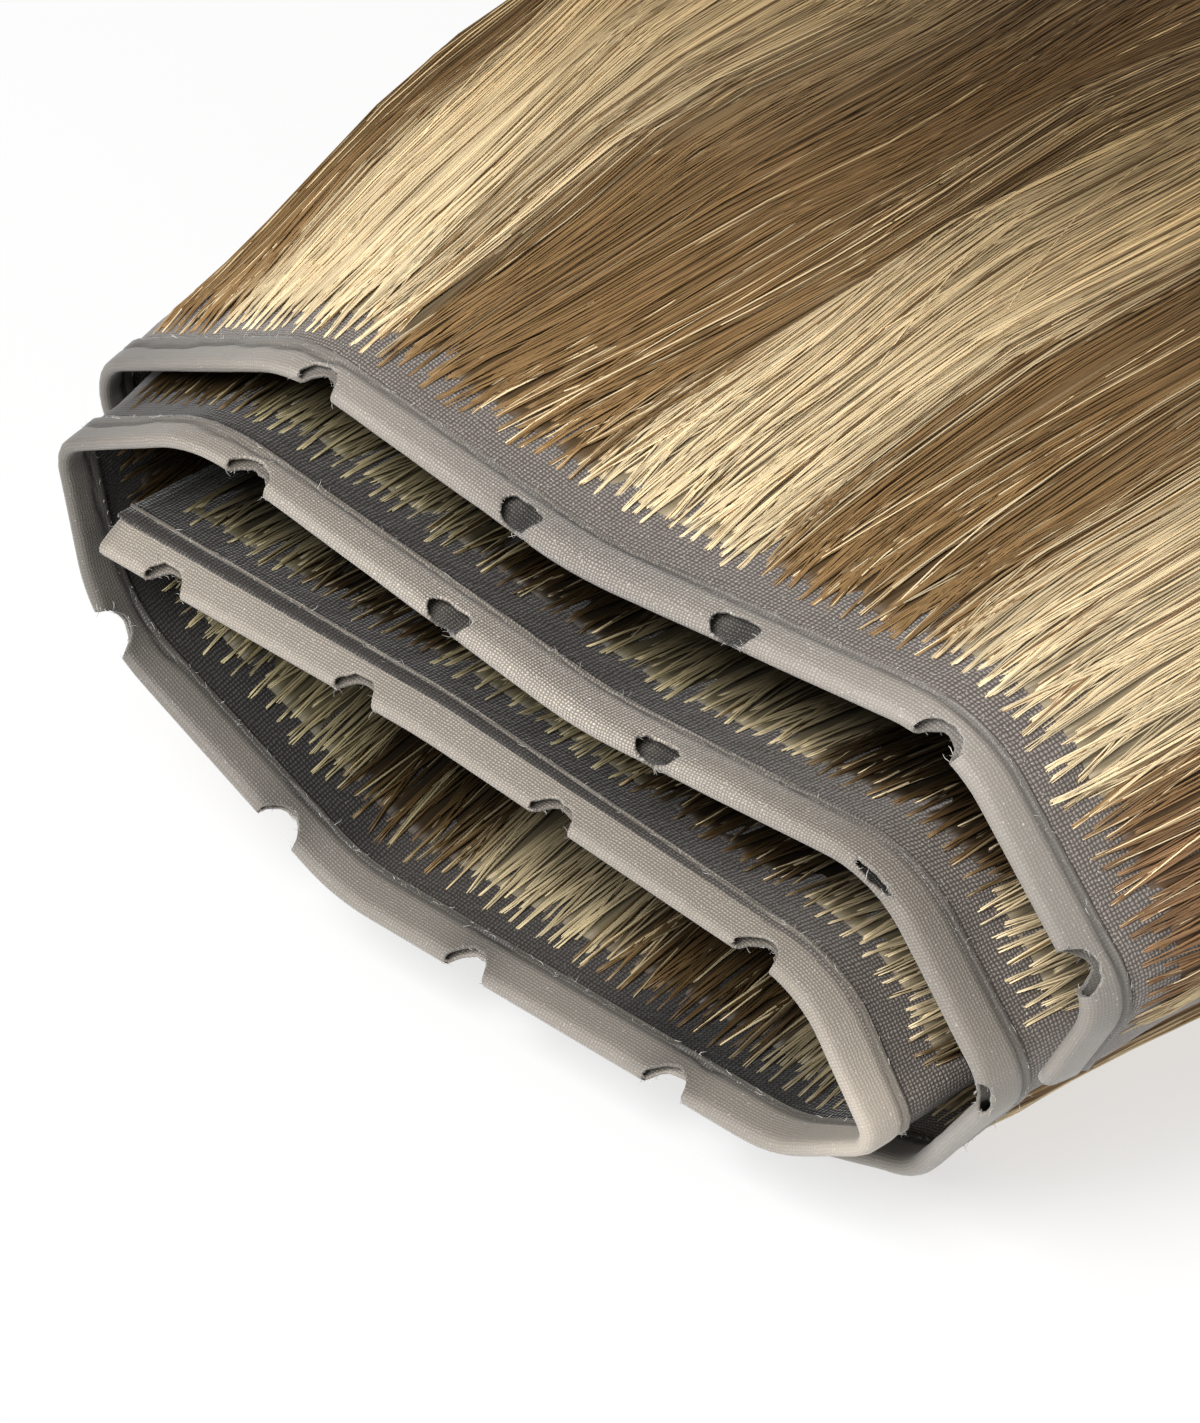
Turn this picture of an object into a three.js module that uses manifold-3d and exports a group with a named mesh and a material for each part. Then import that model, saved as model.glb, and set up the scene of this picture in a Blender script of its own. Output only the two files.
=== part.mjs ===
// A rolled hair weft lying on its side: a folded hem with punched holes, the mesh strip behind it, and the
// hair of each layer of the roll. Millimetres, +X along the layers, +Y along the hair, +Z up, floor at z = 0.
import * as THREE from "three";
import { mergeVertices } from "three/addons/utils/BufferGeometryUtils.js";
import ManifoldModule from "manifold-3d";

const wasm = await ManifoldModule();
wasm.setup();
const { Manifold, Mesh: SolidMesh } = wasm;

// Hem and strip.
const HEM_DEPTH = 3.4;
const HEM_THICKNESS = 2.0;
const PLY = 0.4;
const STRIP_FRONT = 2.3;
const STRIP_REAR = 12.6;
const STRIP_THICKNESS = 0.8;

// Holes punched through the folded edge, counted along the strip from its inner end.
const HOLE_WIDTH = 2.9;
const HOLE_DEPTH = 2.0;
const HOLE_SIDES = 8;
const CUTTER_LENGTH = HEM_THICKNESS + 1.2;
const HOLE_RUNS = [
  { first: 5.0, pitch: 15.0, count: 15 },
  { first: 229.8, pitch: 14.8, count: 12 },
];

// The roll, seen from the front: straight runs between corners, each corner rounded with its radius.
// set_back moves the strip along +Y there, and tilt is its rise for each millimetre behind the fold.
const CORNERS = [
  { name: "inner_end", x: -39.0, z: 24.5, radius: 0.0, set_back: 0.0, tilt: -0.25 },
  { name: "inner_rise", x: -14.0, z: 24.4, radius: 40.0, set_back: 0.0, tilt: -0.25 },
  { name: "inner_shoulder", x: 14.7, z: 21.5, radius: 7.0, set_back: 0.0, tilt: -0.25 },
  { name: "inner_fold", x: 20.0, z: 11.9, radius: 1.8, set_back: 0.0, tilt: 0.0 },
  { name: "lower_heel", x: 12.3, z: 7.6, radius: 8.0, set_back: 0.0, tilt: 0.06 },
  { name: "lower_rise", x: -20.6, z: 7.4, radius: 10.0, set_back: 0.0, tilt: 0.06 },
  { name: "lower_wall", x: -39.2, z: 17.1, radius: 9.0, set_back: 0.0, tilt: 0.0 },
  { name: "left_fold", x: -41.6, z: 29.0, radius: 2.4, set_back: 0.0, tilt: 0.0 },
  { name: "upper_crest", x: -29.9, z: 36.5, radius: 10.0, set_back: -0.8, tilt: -0.2 },
  { name: "upper_sag", x: -1.0, z: 32.1, radius: 30.0, set_back: -1.0, tilt: -0.2 },
  { name: "upper_shoulder", x: 19.4, z: 32.2, radius: 7.0, set_back: 0.2, tilt: -0.2 },
  { name: "right_fold", x: 27.2, z: 19.4, radius: 5.0, set_back: 1.0, tilt: 0.0 },
  { name: "under_heel", x: 17.6, z: 4.6, radius: 6.0, set_back: 6.2, tilt: 0.0 },
  { name: "under_floor", x: 9.0, z: 1.0, radius: 10.0, set_back: 6.8, tilt: 0.0 },
  { name: "under_rise", x: -19.0, z: 1.0, radius: 10.0, set_back: 6.8, tilt: 0.0 },
  { name: "under_wall", x: -41.0, z: 14.0, radius: 10.0, set_back: 6.6, tilt: 0.0 },
  { name: "outer_fold", x: -45.1, z: 29.3, radius: 3.8, set_back: 6.6, tilt: 0.0 },
  { name: "top_crest", x: -26.0, z: 41.3, radius: 12.0, set_back: 3.1, tilt: 0.0 },
  { name: "top_sag", x: -3.0, z: 40.7, radius: 30.0, set_back: 0.7, tilt: 0.0 },
  { name: "top_shoulder", x: 21.5, z: 40.7, radius: 9.0, set_back: 3.2, tilt: 0.0 },
  { name: "top_side", x: 32.4, z: 27.5, radius: 4.0, set_back: 3.0, tilt: 0.0 },
  { name: "outer_end", x: 29.0, z: 20.4, radius: 0.0, set_back: 3.0, tilt: 0.0 },
];
const ARC_STEP_DEG = 20;

// The roll opens like a fan towards the hair: sideways lean for each millimetre behind the fold.
const FAN_MIDDLE = 0.04;
const FAN_PER_MM = 0.0045;

// Hair of each layer, from one corner to another. Its sheet eases from the roll's shape into a flat layer of
// the lying bundle: level is that layer's middle height, left and right its edges there.
const HAIR_LAYERS = [
  { name: "hair_inner", from: "inner_end", to: "inner_fold", level: 8.3, left: -37, right: 47, locks: 6 },
  { name: "hair_lower", from: "inner_fold", to: "left_fold", level: 4.9, left: -55, right: 50, locks: 7 },
  { name: "hair_upper", from: "left_fold", to: "right_fold", level: 11.7, left: -53, right: 58, locks: 7 },
  { name: "hair_under", from: "right_fold", to: "outer_fold", level: 1.5, left: -58, right: 62, locks: 7 },
  { name: "hair_top", from: "outer_fold", to: "outer_end", level: 15.1, left: -57, right: 61, locks: 8 },
];
const HAIR_LENGTH = 342;
const HAIR_GAP = 0.4;
const FOLD_CLEARANCE = 2.3;
const ROOT_THICKNESS = 1.0;
const BODY_THICKNESS = 3.0;
const TIP_THICKNESS = 0.7;
const SPREAD_REACH = 150;
const SETTLE_REACH = 230;
// Behind the strip the hair leans sideways at its own rate and keeps the strip's tilt, both easing out.
const HAIR_LEAN_MIDDLE = 0.1;
const HAIR_LEAN_PER_MM = 0.0055;
const LEAN_REACH = 45;
const TILT_REACH = 18;
const TAIL_NARROWING = 0.18;
const TIP_POINT = 42;
const TIP_STAGGER = 11;
const TIP_START = 0.72;

// Locks: a groove between two keeps this share of the thickness, from GROOVE_REACH behind the roots on. The
// side edges of a sheet thin out over a share of its width. Locks differ in width and sway from side to side.
const LOCK_COLUMNS = 4;
const GROOVE_LEFT = 0.4;
const GROOVE_REACH = 60;
const EDGE_LEFT = 0.5;
const EDGE_SHARE = 0.12;
const LOCK_UNEVEN = 0.02;
const SWAY = 2.4;
const SWAY_LENGTH = 210;
const SWAY_TURNS = 1.3;
const HAIR_STATIONS = [0, 0.04, 0.1, 0.18, 0.29, 0.42, 0.56, 0.7, 0.88, 1];

const MATERIALS = {
  hem: { color: 0xa39b90, roughness: 0.75, metalness: 0 },
  mesh: { color: 0x6f6a68, roughness: 0.85, metalness: 0 },
  hair: { color: 0xa78d66, roughness: 0.5, metalness: 0 },
};

const mix = (a, b, t) => a + (b - a) * t;
const clamp01 = (t) => Math.min(1, Math.max(0, t));
const smooth = (t) => clamp01(t) ** 2 * (3 - 2 * clamp01(t));

// The roll as samples {x, z, nx, nz, set_back, tilt, s}: n is the outer face's normal, s the length so far.
function rollPath(corners) {
  const samples = [];
  const marks = [];
  const push = (x, z, heading) =>
    samples.push({ x, z, nx: -Math.sin(heading), nz: Math.cos(heading) });
  const headingTo = (a, b) => Math.atan2(b.z - a.z, b.x - a.x);
  const last = corners.length - 1;
  push(corners[0].x, corners[0].z, headingTo(corners[0], corners[1]));
  marks.push({ index: 0, corner: corners[0] });
  for (let i = 1; i < last; i++) {
    const corner = corners[i];
    const before = headingTo(corners[i - 1], corner);
    const after = headingTo(corner, corners[i + 1]);
    const turn = Math.atan2(Math.sin(after - before), Math.cos(after - before));
    const reach = corner.radius * Math.tan(Math.abs(turn) / 2);
    const side = Math.sign(turn);
    const startX = corner.x - reach * Math.cos(before);
    const startZ = corner.z - reach * Math.sin(before);
    const centreX = startX - side * corner.radius * Math.sin(before);
    const centreZ = startZ + side * corner.radius * Math.cos(before);
    const steps = 2 * Math.max(1, Math.ceil(Math.abs(turn) / THREE.MathUtils.degToRad(2 * ARC_STEP_DEG)));
    marks.push({ index: samples.length + steps / 2, corner });
    for (let k = 0; k <= steps; k++) {
      const heading = before + (turn * k) / steps;
      const x = centreX + side * corner.radius * Math.sin(heading);
      const z = centreZ - side * corner.radius * Math.cos(heading);
      push(x, z, heading);
    }
  }
  push(corners[last].x, corners[last].z, headingTo(corners[last - 1], corners[last]));
  marks.push({ index: samples.length - 1, corner: corners[last] });
  samples.forEach((p, i) => {
    p.s = i === 0 ? 0 : samples[i - 1].s + Math.hypot(p.x - samples[i - 1].x, p.z - samples[i - 1].z);
  });
  marks.forEach((mark) => {
    mark.s = samples[mark.index].s;
  });
  for (const p of samples) {
    let k = 1;
    while (k < marks.length - 1 && marks[k].s < p.s) k++;
    const t = (p.s - marks[k - 1].s) / (marks[k].s - marks[k - 1].s);
    p.set_back = mix(marks[k - 1].corner.set_back, marks[k].corner.set_back, t);
    p.tilt = mix(marks[k - 1].corner.tilt, marks[k].corner.tilt, t);
  }
  const cornerAt = Object.fromEntries(marks.map((mark) => [mark.corner.name, mark.s]));
  return { samples, cornerAt, length: samples[samples.length - 1].s };
}

// The path's sample at length s, between the two nearest ones.
function pathAt(path, s) {
  let k = 1;
  while (k < path.samples.length - 1 && path.samples[k].s < s) k++;
  const a = path.samples[k - 1];
  const b = path.samples[k];
  const t = (s - a.s) / (b.s - a.s);
  const at = {};
  for (const key of ["x", "z", "nx", "nz", "set_back", "tilt"]) at[key] = mix(a[key], b[key], t);
  const size = Math.hypot(at.nx, at.nz);
  at.nx /= size;
  at.nz /= size;
  return at;
}

// A point of the strip: depth behind the fold's nose, and offset from its middle towards the outer face.
function place(p, depth, offset) {
  const lean = FAN_MIDDLE + FAN_PER_MM * p.x;
  return [
    p.x + lean * depth + p.nx * offset,
    p.set_back + depth,
    p.z + p.tilt * depth + p.nz * offset,
  ];
}

// Indexed geometry with its faces outwards.
function geometryFrom(points, triangles) {
  let volume = 0;
  for (const [a, b, c] of triangles) {
    const [p, q, r] = [points[a], points[b], points[c]];
    volume += p[0] * (q[1] * r[2] - q[2] * r[1]);
    volume += p[1] * (q[2] * r[0] - q[0] * r[2]);
    volume += p[2] * (q[0] * r[1] - q[1] * r[0]);
  }
  const facing = volume < 0 ? triangles.map(([a, b, c]) => [a, c, b]) : triangles;
  const geometry = new THREE.BufferGeometry();
  geometry.setAttribute("position", new THREE.Float32BufferAttribute(points.flat(), 3));
  geometry.setIndex(facing.flat());
  return geometry;
}

// A closed profile of (depth, offset) points carried along the whole path, with flat ends.
function sweep(path, profile) {
  const count = profile.length;
  const points = path.samples.flatMap((p) => profile.map(([depth, offset]) => place(p, depth, offset)));
  const triangles = [];
  for (let i = 0; i < path.samples.length - 1; i++) {
    for (let j = 0; j < count; j++) {
      const a = i * count + j;
      const b = i * count + ((j + 1) % count);
      triangles.push([a, a + count, b], [b, a + count, b + count]);
    }
  }
  const outline = profile.map(([depth, offset]) => new THREE.Vector2(depth, offset));
  const cap = THREE.ShapeUtils.triangulateShape(outline, []);
  const end = (path.samples.length - 1) * count;
  const inOrder = Math.sign(THREE.ShapeUtils.area(outline));
  for (const [a, b, c] of cap) {
    const same = Math.sign(THREE.ShapeUtils.area([outline[a], outline[b], outline[c]])) === inOrder;
    const [q, r] = same ? [b, c] : [c, b];
    triangles.push([a, q, r], [end + a, end + r, end + q]);
  }
  return geometryFrom(points, triangles);
}

function toSolid(geometry) {
  return new Manifold(
    new SolidMesh({
      numProp: 3,
      vertProperties: new Float32Array(geometry.attributes.position.array),
      triVerts: new Uint32Array(geometry.index.array),
    }),
  );
}

function toGeometry(solid) {
  const mesh = solid.getMesh();
  const geometry = new THREE.BufferGeometry();
  geometry.setAttribute("position", new THREE.BufferAttribute(mesh.vertProperties, 3));
  geometry.setIndex(new THREE.BufferAttribute(mesh.triVerts, 1));
  return geometry;
}

// Folded hem: two plies and a round nose, open at the back where the strip goes in.
function hemProfile() {
  const outer = HEM_THICKNESS / 2;
  const inner = outer - PLY;
  const nose = [90, 135, 180, 225, 270].map((deg) => THREE.MathUtils.degToRad(deg));
  const arc = (r) => nose.map((a) => [outer + r * Math.cos(a), r * Math.sin(a)]);
  return [
    [HEM_DEPTH, outer],
    ...arc(outer),
    [HEM_DEPTH, -outer],
    [HEM_DEPTH, -inner],
    ...arc(inner).reverse(),
    [HEM_DEPTH, inner],
  ];
}

// One cutter for each hole: an oval rod through both plies, centred on the fold's nose.
function holeCutters(path) {
  const round = new THREE.CylinderGeometry(1, 1, CUTTER_LENGTH, HOLE_SIDES);
  round.deleteAttribute("normal");
  round.deleteAttribute("uv");
  const rod = toSolid(mergeVertices(round));
  const cutters = [];
  for (const run of HOLE_RUNS) {
    for (let i = 0; i < run.count; i++) {
      const p = pathAt(path, run.first + i * run.pitch);
      const [x, y, z] = place(p, 0, 0);
      const along = new THREE.Vector3(p.nz, 0, -p.nx).multiplyScalar(HOLE_WIDTH / 2);
      const through = new THREE.Vector3(p.nx, 0, p.nz);
      const front = new THREE.Vector3(0, -HOLE_DEPTH, 0);
      const frame = new THREE.Matrix4().makeBasis(along, through, front).setPosition(x, y, z);
      cutters.push(rod.transform(frame.toArray()));
    }
  }
  return Manifold.union(cutters);
}

// One layer of hair as a closed sheet: ridged into locks, each lock drawn out to a point at its end.
function hairSheet(path, layer) {
  const start = path.cornerAt[layer.from] + FOLD_CLEARANCE;
  const stop = path.cornerAt[layer.to] - FOLD_CLEARANCE;
  const columns = layer.locks * LOCK_COLUMNS;
  const rows = HAIR_STATIONS.length;
  const leftwards = pathAt(path, start).x > pathAt(path, stop).x;
  const middle = (u, t) => {
    const across = u + LOCK_UNEVEN * Math.sin(5 * Math.PI * u) * Math.sin(Math.PI * u);
    const p = pathAt(path, mix(start, stop, across));
    const [rootX, rootY, rootZ] = place(p, STRIP_REAR + HAIR_GAP, 0);
    const crest = Math.sin(Math.PI * ((u * layer.locks) % 1));
    const stagger = TIP_STAGGER * Math.cos(5 * Math.floor(u * layer.locks - 1e-9));
    const along = t * (HAIR_LENGTH + stagger - TIP_POINT * (1 - crest));
    const spread = smooth(along / SPREAD_REACH);
    const settle = smooth(along / SETTLE_REACH);
    const leaned = LEAN_REACH * (1 - Math.exp(-along / LEAN_REACH));
    const tilted = TILT_REACH * (1 - Math.exp(-along / TILT_REACH));
    const tailX = mix(layer.left, layer.right, leftwards ? 1 - across : across);
    const wave = Math.sin(2 * Math.PI * (along / SWAY_LENGTH + SWAY_TURNS * across + layer.level));
    const sway = SWAY * wave * spread * Math.sin(Math.PI * u);
    const gathered = TAIL_NARROWING * smooth((along - SPREAD_REACH) / (HAIR_LENGTH - SPREAD_REACH));
    const half = halfThickness(layer, u, t, along);
    const fannedX = rootX + (HAIR_LEAN_MIDDLE + HAIR_LEAN_PER_MM * p.x) * leaned;
    const x = mix(fannedX, tailX * (1 - gathered), spread) + sway;
    const z = mix(rootZ + p.tilt * tilted, layer.level, settle);
    return { x, y: rootY + along, z: Math.max(z, half), half };
  };
  const rowsOfMiddles = HAIR_STATIONS.map((t) =>
    Array.from({ length: columns + 1 }, (_, i) => middle(i / columns, t)),
  );
  const points = [];
  for (const sideSign of [1, -1]) {
    for (const row of rowsOfMiddles) {
      row.forEach((m, i) => {
        const a = row[Math.max(0, i - 1)];
        const b = row[Math.min(columns, i + 1)];
        const size = Math.hypot(b.x - a.x, b.z - a.z);
        const nx = -(b.z - a.z) / size;
        const nz = (b.x - a.x) / size;
        points.push([m.x + sideSign * m.half * nx, m.y, m.z + sideSign * m.half * nz]);
      });
    }
  }
  const width = columns + 1;
  const under = rows * width;
  const triangles = [];
  for (let r = 0; r < rows - 1; r++) {
    for (let i = 0; i < columns; i++) {
      const a = r * width + i;
      triangles.push([a, a + 1, a + width], [a + 1, a + width + 1, a + width]);
      triangles.push([under + a, under + a + width, under + a + 1]);
      triangles.push([under + a + 1, under + a + width, under + a + width + 1]);
    }
  }
  const rim = [];
  for (let i = 0; i < columns; i++) rim.push(i);
  for (let r = 0; r < rows - 1; r++) rim.push(r * width + columns);
  for (let i = columns; i > 0; i--) rim.push((rows - 1) * width + i);
  for (let r = rows - 1; r > 0; r--) rim.push(r * width);
  rim.forEach((a, i) => {
    const b = rim[(i + 1) % rim.length];
    triangles.push([a, under + a, b], [b, under + a, under + b]);
  });
  return geometryFrom(points, triangles);
}

// Half the sheet's thickness: thin at the roots and side edges, ridged in the body, thin again at the tips.
function halfThickness(layer, u, t, along) {
  const settle = smooth(along / SETTLE_REACH);
  const body = mix(ROOT_THICKNESS, BODY_THICKNESS, settle ** 1.5);
  const crest = Math.sin(Math.PI * ((u * layer.locks) % 1));
  const ridge = mix(1, mix(GROOVE_LEFT, 1, crest), smooth(along / GROOVE_REACH));
  const edge = mix(EDGE_LEFT, 1, smooth(Math.min(u, 1 - u) / EDGE_SHARE));
  const tip = smooth((t - TIP_START) / (1 - TIP_START));
  return mix((body * ridge * edge) / 2, TIP_THICKNESS / 2, tip);
}

function meshOf(name, geometry, look) {
  geometry.computeVertexNormals();
  const mesh = new THREE.Mesh(geometry, new THREE.MeshStandardMaterial(look));
  mesh.name = name;
  return mesh;
}

const path = rollPath(CORNERS);
const weft = new THREE.Group();
weft.name = "hair_weft";

const hem = toSolid(sweep(path, hemProfile())).subtract(holeCutters(path));
weft.add(meshOf("hem_band", toGeometry(hem), MATERIALS.hem));

const half = STRIP_THICKNESS / 2;
const stripProfile = [
  [STRIP_FRONT, half],
  [STRIP_FRONT, -half],
  [STRIP_REAR, -half],
  [STRIP_REAR, half],
];
weft.add(meshOf("mesh_strip", sweep(path, stripProfile), MATERIALS.mesh));

for (const layer of HAIR_LAYERS) weft.add(meshOf(layer.name, hairSheet(path, layer), MATERIALS.hair));

// The origin is the middle of the bottom of the whole part.
const box = new THREE.Box3().setFromObject(weft);
const shift = new THREE.Vector3(-(box.min.x + box.max.x) / 2, -(box.min.y + box.max.y) / 2, -box.min.z);
for (const mesh of weft.children) mesh.geometry.translate(shift.x, shift.y, shift.z);

export default weft;
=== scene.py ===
"""Looks of a rolled hair weft: the folded hem with its punched holes, the net strip and the hair.

Tables and shape functions use millimetres in the roll's own drawing: x along the layers, y behind the front
fold, z above the floor. to_frame() turns such points into the frame's metres.
"""
import math
from collections import namedtuple

import bpy
import numpy as np
from mathutils import Matrix, Vector


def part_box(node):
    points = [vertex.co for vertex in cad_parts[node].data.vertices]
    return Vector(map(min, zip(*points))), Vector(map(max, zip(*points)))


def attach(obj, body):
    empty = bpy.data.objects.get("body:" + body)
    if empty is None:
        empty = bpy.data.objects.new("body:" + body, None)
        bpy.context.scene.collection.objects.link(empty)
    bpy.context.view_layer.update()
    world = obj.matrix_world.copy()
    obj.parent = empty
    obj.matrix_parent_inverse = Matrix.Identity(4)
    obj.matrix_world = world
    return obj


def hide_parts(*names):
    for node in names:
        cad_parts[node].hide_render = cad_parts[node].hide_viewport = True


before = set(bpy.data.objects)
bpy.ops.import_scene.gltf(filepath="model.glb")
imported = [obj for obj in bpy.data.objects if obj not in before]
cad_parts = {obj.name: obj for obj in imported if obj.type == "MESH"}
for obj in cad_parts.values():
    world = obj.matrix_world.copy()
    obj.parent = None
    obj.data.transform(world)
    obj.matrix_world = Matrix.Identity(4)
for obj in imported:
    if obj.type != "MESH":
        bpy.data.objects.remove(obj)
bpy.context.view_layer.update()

MM = 0.001

# A wave along the strip: its size, its turn in radians for each mm along and each mm back, and its start.
Wave = namedtuple("Wave", "size by_s by_back start")

# Camera, from the photo: it looks at a point above the roll's front edge.
PHOTO_SIZE = (1200, 1423)
VIEW_AZIMUTH = math.radians(41.41)
VIEW_ELEVATION = math.radians(40.0)
VIEW_DISTANCE = 380.0
VIEW_TARGET = (0.0, 0.0, 32.4)
FOCAL_PX = 7028.0
SENSOR = 36.0

# The roll from its inner end to its outer end, seen from the front: straight runs between rounded corners.
# set_back moves the strip behind the drawing's front line, and tilt is its rise for each mm behind the fold.
# puff is the hem's nose radius and droop how far the nose is turned towards the inner face. lift and reach
# say where a punched hole's middle lies on the cloth, measured from the nose towards the outer face, and how
# far the hole goes from there. sewn is the depth of the hem's sewn edge, warm the cloth's warm share, weave
# how clearly its weave shows, and tone the hem's brightness: mostly painted light and shade, partly the
# cloth's own tone. root is the depth of the first row of root tufts.
Corner = namedtuple("Corner", "name x z radius set_back tilt puff droop lift reach sewn warm weave tone root")
CORNERS = (
    Corner("inner_end", -39.0, 24.5, 0.0, 0.0, -0.25, 0.55, 2.2, 0.1, 1.8, 3.9, 0.9, 0.6, 1.05, 5.5),
    Corner("inner_rise", -14.0, 24.4, 40.0, 0.0, -0.25, 0.55, 1.8, 0.1, 1.8, 3.5, 0.85, 0.7, 1.0, 5.0),
    Corner("inner_shoulder", 14.7, 21.5, 7.0, 0.0, -0.25, 0.55, 1.2, 0.1, 1.8, 3.2, 1.0, 0.6, 0.8, 5.0),
    Corner("inner_fold", 20.0, 11.9, 1.8, 0.0, 0.0, 0.5, 0.3, 0.0, 1.9, 2.9, 0.9, 0.2, 1.1, 4.6),
    Corner("lower_heel", 12.3, 7.6, 8.0, 0.0, 0.06, 0.55, -0.3, 0.0, 1.9, 3.0, 0.4, 0.4, 0.85, 3.9),
    Corner("lower_rise", -20.6, 7.4, 10.0, 0.0, 0.06, 0.55, -0.4, 0.0, 1.9, 3.0, 0.3, 0.5, 0.85, 4.5),
    Corner("lower_wall", -39.2, 17.1, 9.0, 0.0, 0.0, 0.5, -0.3, 0.0, 1.9, 2.9, 0.2, 0.4, 0.5, 4.8),
    Corner("left_fold", -41.6, 29.0, 2.4, 0.0, 0.0, 0.4, 0.0, 0.1, 1.8, 2.8, 0.2, 0.4, 0.4, 4.6),
    Corner("upper_crest", -29.9, 36.5, 10.0, -0.8, -0.2, 0.45, 0.5, 0.0, 1.9, 2.6, 0.6, 0.6, 0.95, 4.2),
    Corner("upper_sag", -1.0, 32.1, 30.0, -1.0, -0.2, 0.85, 0.7, 0.85, 1.15, 3.4, 0.9, 1.0, 1.55, 5.5),
    Corner("upper_shoulder", 19.4, 32.2, 7.0, 0.2, -0.2, 0.7, 0.8, 0.6, 1.0, 3.0, 0.8, 0.7, 0.72, 4.9),
    Corner("right_fold", 27.2, 19.4, 5.0, 1.0, 0.0, 0.55, 0.4, 0.2, 1.7, 3.0, 0.4, 0.3, 0.65, 4.1),
    Corner("under_heel", 17.6, 4.6, 6.0, 6.2, 0.0, 0.6, 0.0, 0.0, 1.9, 3.0, 0.3, 0.3, 0.7, 4.9),
    Corner("under_floor", 9.0, 1.0, 10.0, 6.8, 0.0, 0.6, 0.0, 0.0, 1.9, 3.0, 0.3, 0.4, 0.7, 4.9),
    Corner("under_rise", -19.0, 1.0, 10.0, 6.8, 0.0, 0.6, 0.0, 0.0, 1.9, 3.0, 0.3, 0.4, 0.7, 4.9),
    Corner("under_wall", -41.0, 14.0, 10.0, 6.6, 0.0, 0.6, 0.0, 0.0, 1.9, 3.0, 0.3, 0.3, 0.6, 4.9),
    Corner("outer_fold", -45.1, 29.3, 3.8, 6.6, 0.0, 0.4, 0.0, 0.2, 1.7, 2.6, 0.2, 0.3, 0.4, 3.2),
    Corner("top_crest", -26.0, 41.3, 12.0, 3.1, 0.0, 0.45, 0.5, 0.0, 1.9, 2.5, 0.3, 0.4, 0.9, 3.6),
    Corner("top_sag", -3.0, 40.7, 30.0, 0.7, 0.0, 0.75, 0.6, 1.15, 1.0, 2.8, 0.3, 1.0, 1.2, 5.0),
    Corner("top_shoulder", 21.5, 40.7, 9.0, 3.2, 0.0, 0.6, 0.9, 0.1, 1.7, 2.6, 0.2, 0.4, 0.9, 4.0),
    Corner("top_side", 32.4, 27.5, 4.0, 3.0, 0.0, 0.55, 0.8, 0.1, 1.7, 2.6, 0.05, 0.3, 0.62, 3.6),
    Corner("outer_end", 29.0, 20.4, 0.0, 3.0, 0.0, 0.5, 0.5, 0.1, 1.7, 2.8, 0.1, 0.2, 0.7, 3.6),
)
ARC_STEPS = 16
SET_SMOOTHING = 6.0
SET_SAMPLES = 7

# The roll opens like a fan towards the hair: sideways lean for each mm behind the fold.
FAN_MIDDLE = 0.04
FAN_PER_MM = 0.0045

# Hem: a folded band of cloth, its two plies sewn together behind the nose.
HEM_DEPTH = 3.4
HEM_REAR_HALF = 0.38
HEM_CLOTH = 0.2
HEM_COLUMN = 0.75
HEM_ROWS_FRONT = 9
HEM_ROWS_SEAM = 5
SEAM_SHARE = 0.72
SEAM_FLAT = 1.0
SEAM_FULL = 0.36
SEAM_PUFF = 0.38
SEAM_PUFF_OVER = 0.12
SEAM_GROOVE = 0.2
SEAM_GROOVE_WIDTH = 0.18
CAD_HEM_HALF = 1.0
BOX_SAMPLES = 4000
HEM_SEED = 3

# The nose's radius along the strip: it grows past each hole, is pinched at the hole, and waves a little.
SWELL_PER_MM = 0.05
SWELL_REACH = 3.4
PINCH = 0.08
PINCH_REACH = 1.8
PUFF_WAVES = (Wave(0.04, 0.61, 0.0, 0.0), Wave(0.025, 1.73, 0.0, 1.0))

# Painted shade on the hem: in the stitched crease, on the raw edge behind it, on the inner face and inside
# the holes.
CREASE_SHADE = 0.6
CREASE_WIDTH = 0.16
RAW_EDGE_SHADE = 0.35
RAW_EDGE_WIDTH = 0.2
INNER_SHADE = 0.2
INNER_FROM = 0.4
INNER_OVER = 1.2
ARCH_SHADE = 0.35
SHIELD_SHADE = 0.85
HOLE_SHADE_REACH = 2.2
HOLE_SHADE_OVER = 0.5

# Punched holes, counted along the strip from its inner end.
HoleRun = namedtuple("HoleRun", "first pitch count")
HOLE_RUNS = (HoleRun(5.0, 15.0, 15), HoleRun(229.8, 14.8, 12))
HOLE_HALF_WIDTH = 1.5
HOLE_COLUMNS = 13
HOLE_MARGIN = 0.4
HOLE_RAG = 0.05
JUST_INSIDE = 0.9999
LISTED_WITHIN = 1.0
# Outline of an arched hole on the nose, and of a shield higher on the outer face: how far its upper and lower
# edges go and how far its middle is raised, for each mm of reach, and how square the edges are.
HoleShape = namedtuple("HoleShape", "upper lower upper_power lower_power raised")
ARCH = HoleShape(1.0, 1.0, 2.4, 0.6, 0.0)
SHIELD = HoleShape(0.5, 1.5, 4.0, 0.8, 0.5)
UPPER_ROUND = 0.5
LOWER_ROUND = 1.8
SHIELD_FROM = 0.2
SHIELD_OVER = 0.4
# Holes that the folds press shut, and those they press to slits, with the share of their reach that is left.
CLOSED_HOLES = (65.0, 140.0, 229.8, 303.8, 318.6)
PRESSED_HOLES = (200.0, 215.0)
PRESSED_SHARE = 0.35
# Two holes of the top layer sit further along than even spacing puts them.
MOVED_HOLES = (348.2, 363.0)
MOVED_BY = 1.4

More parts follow.
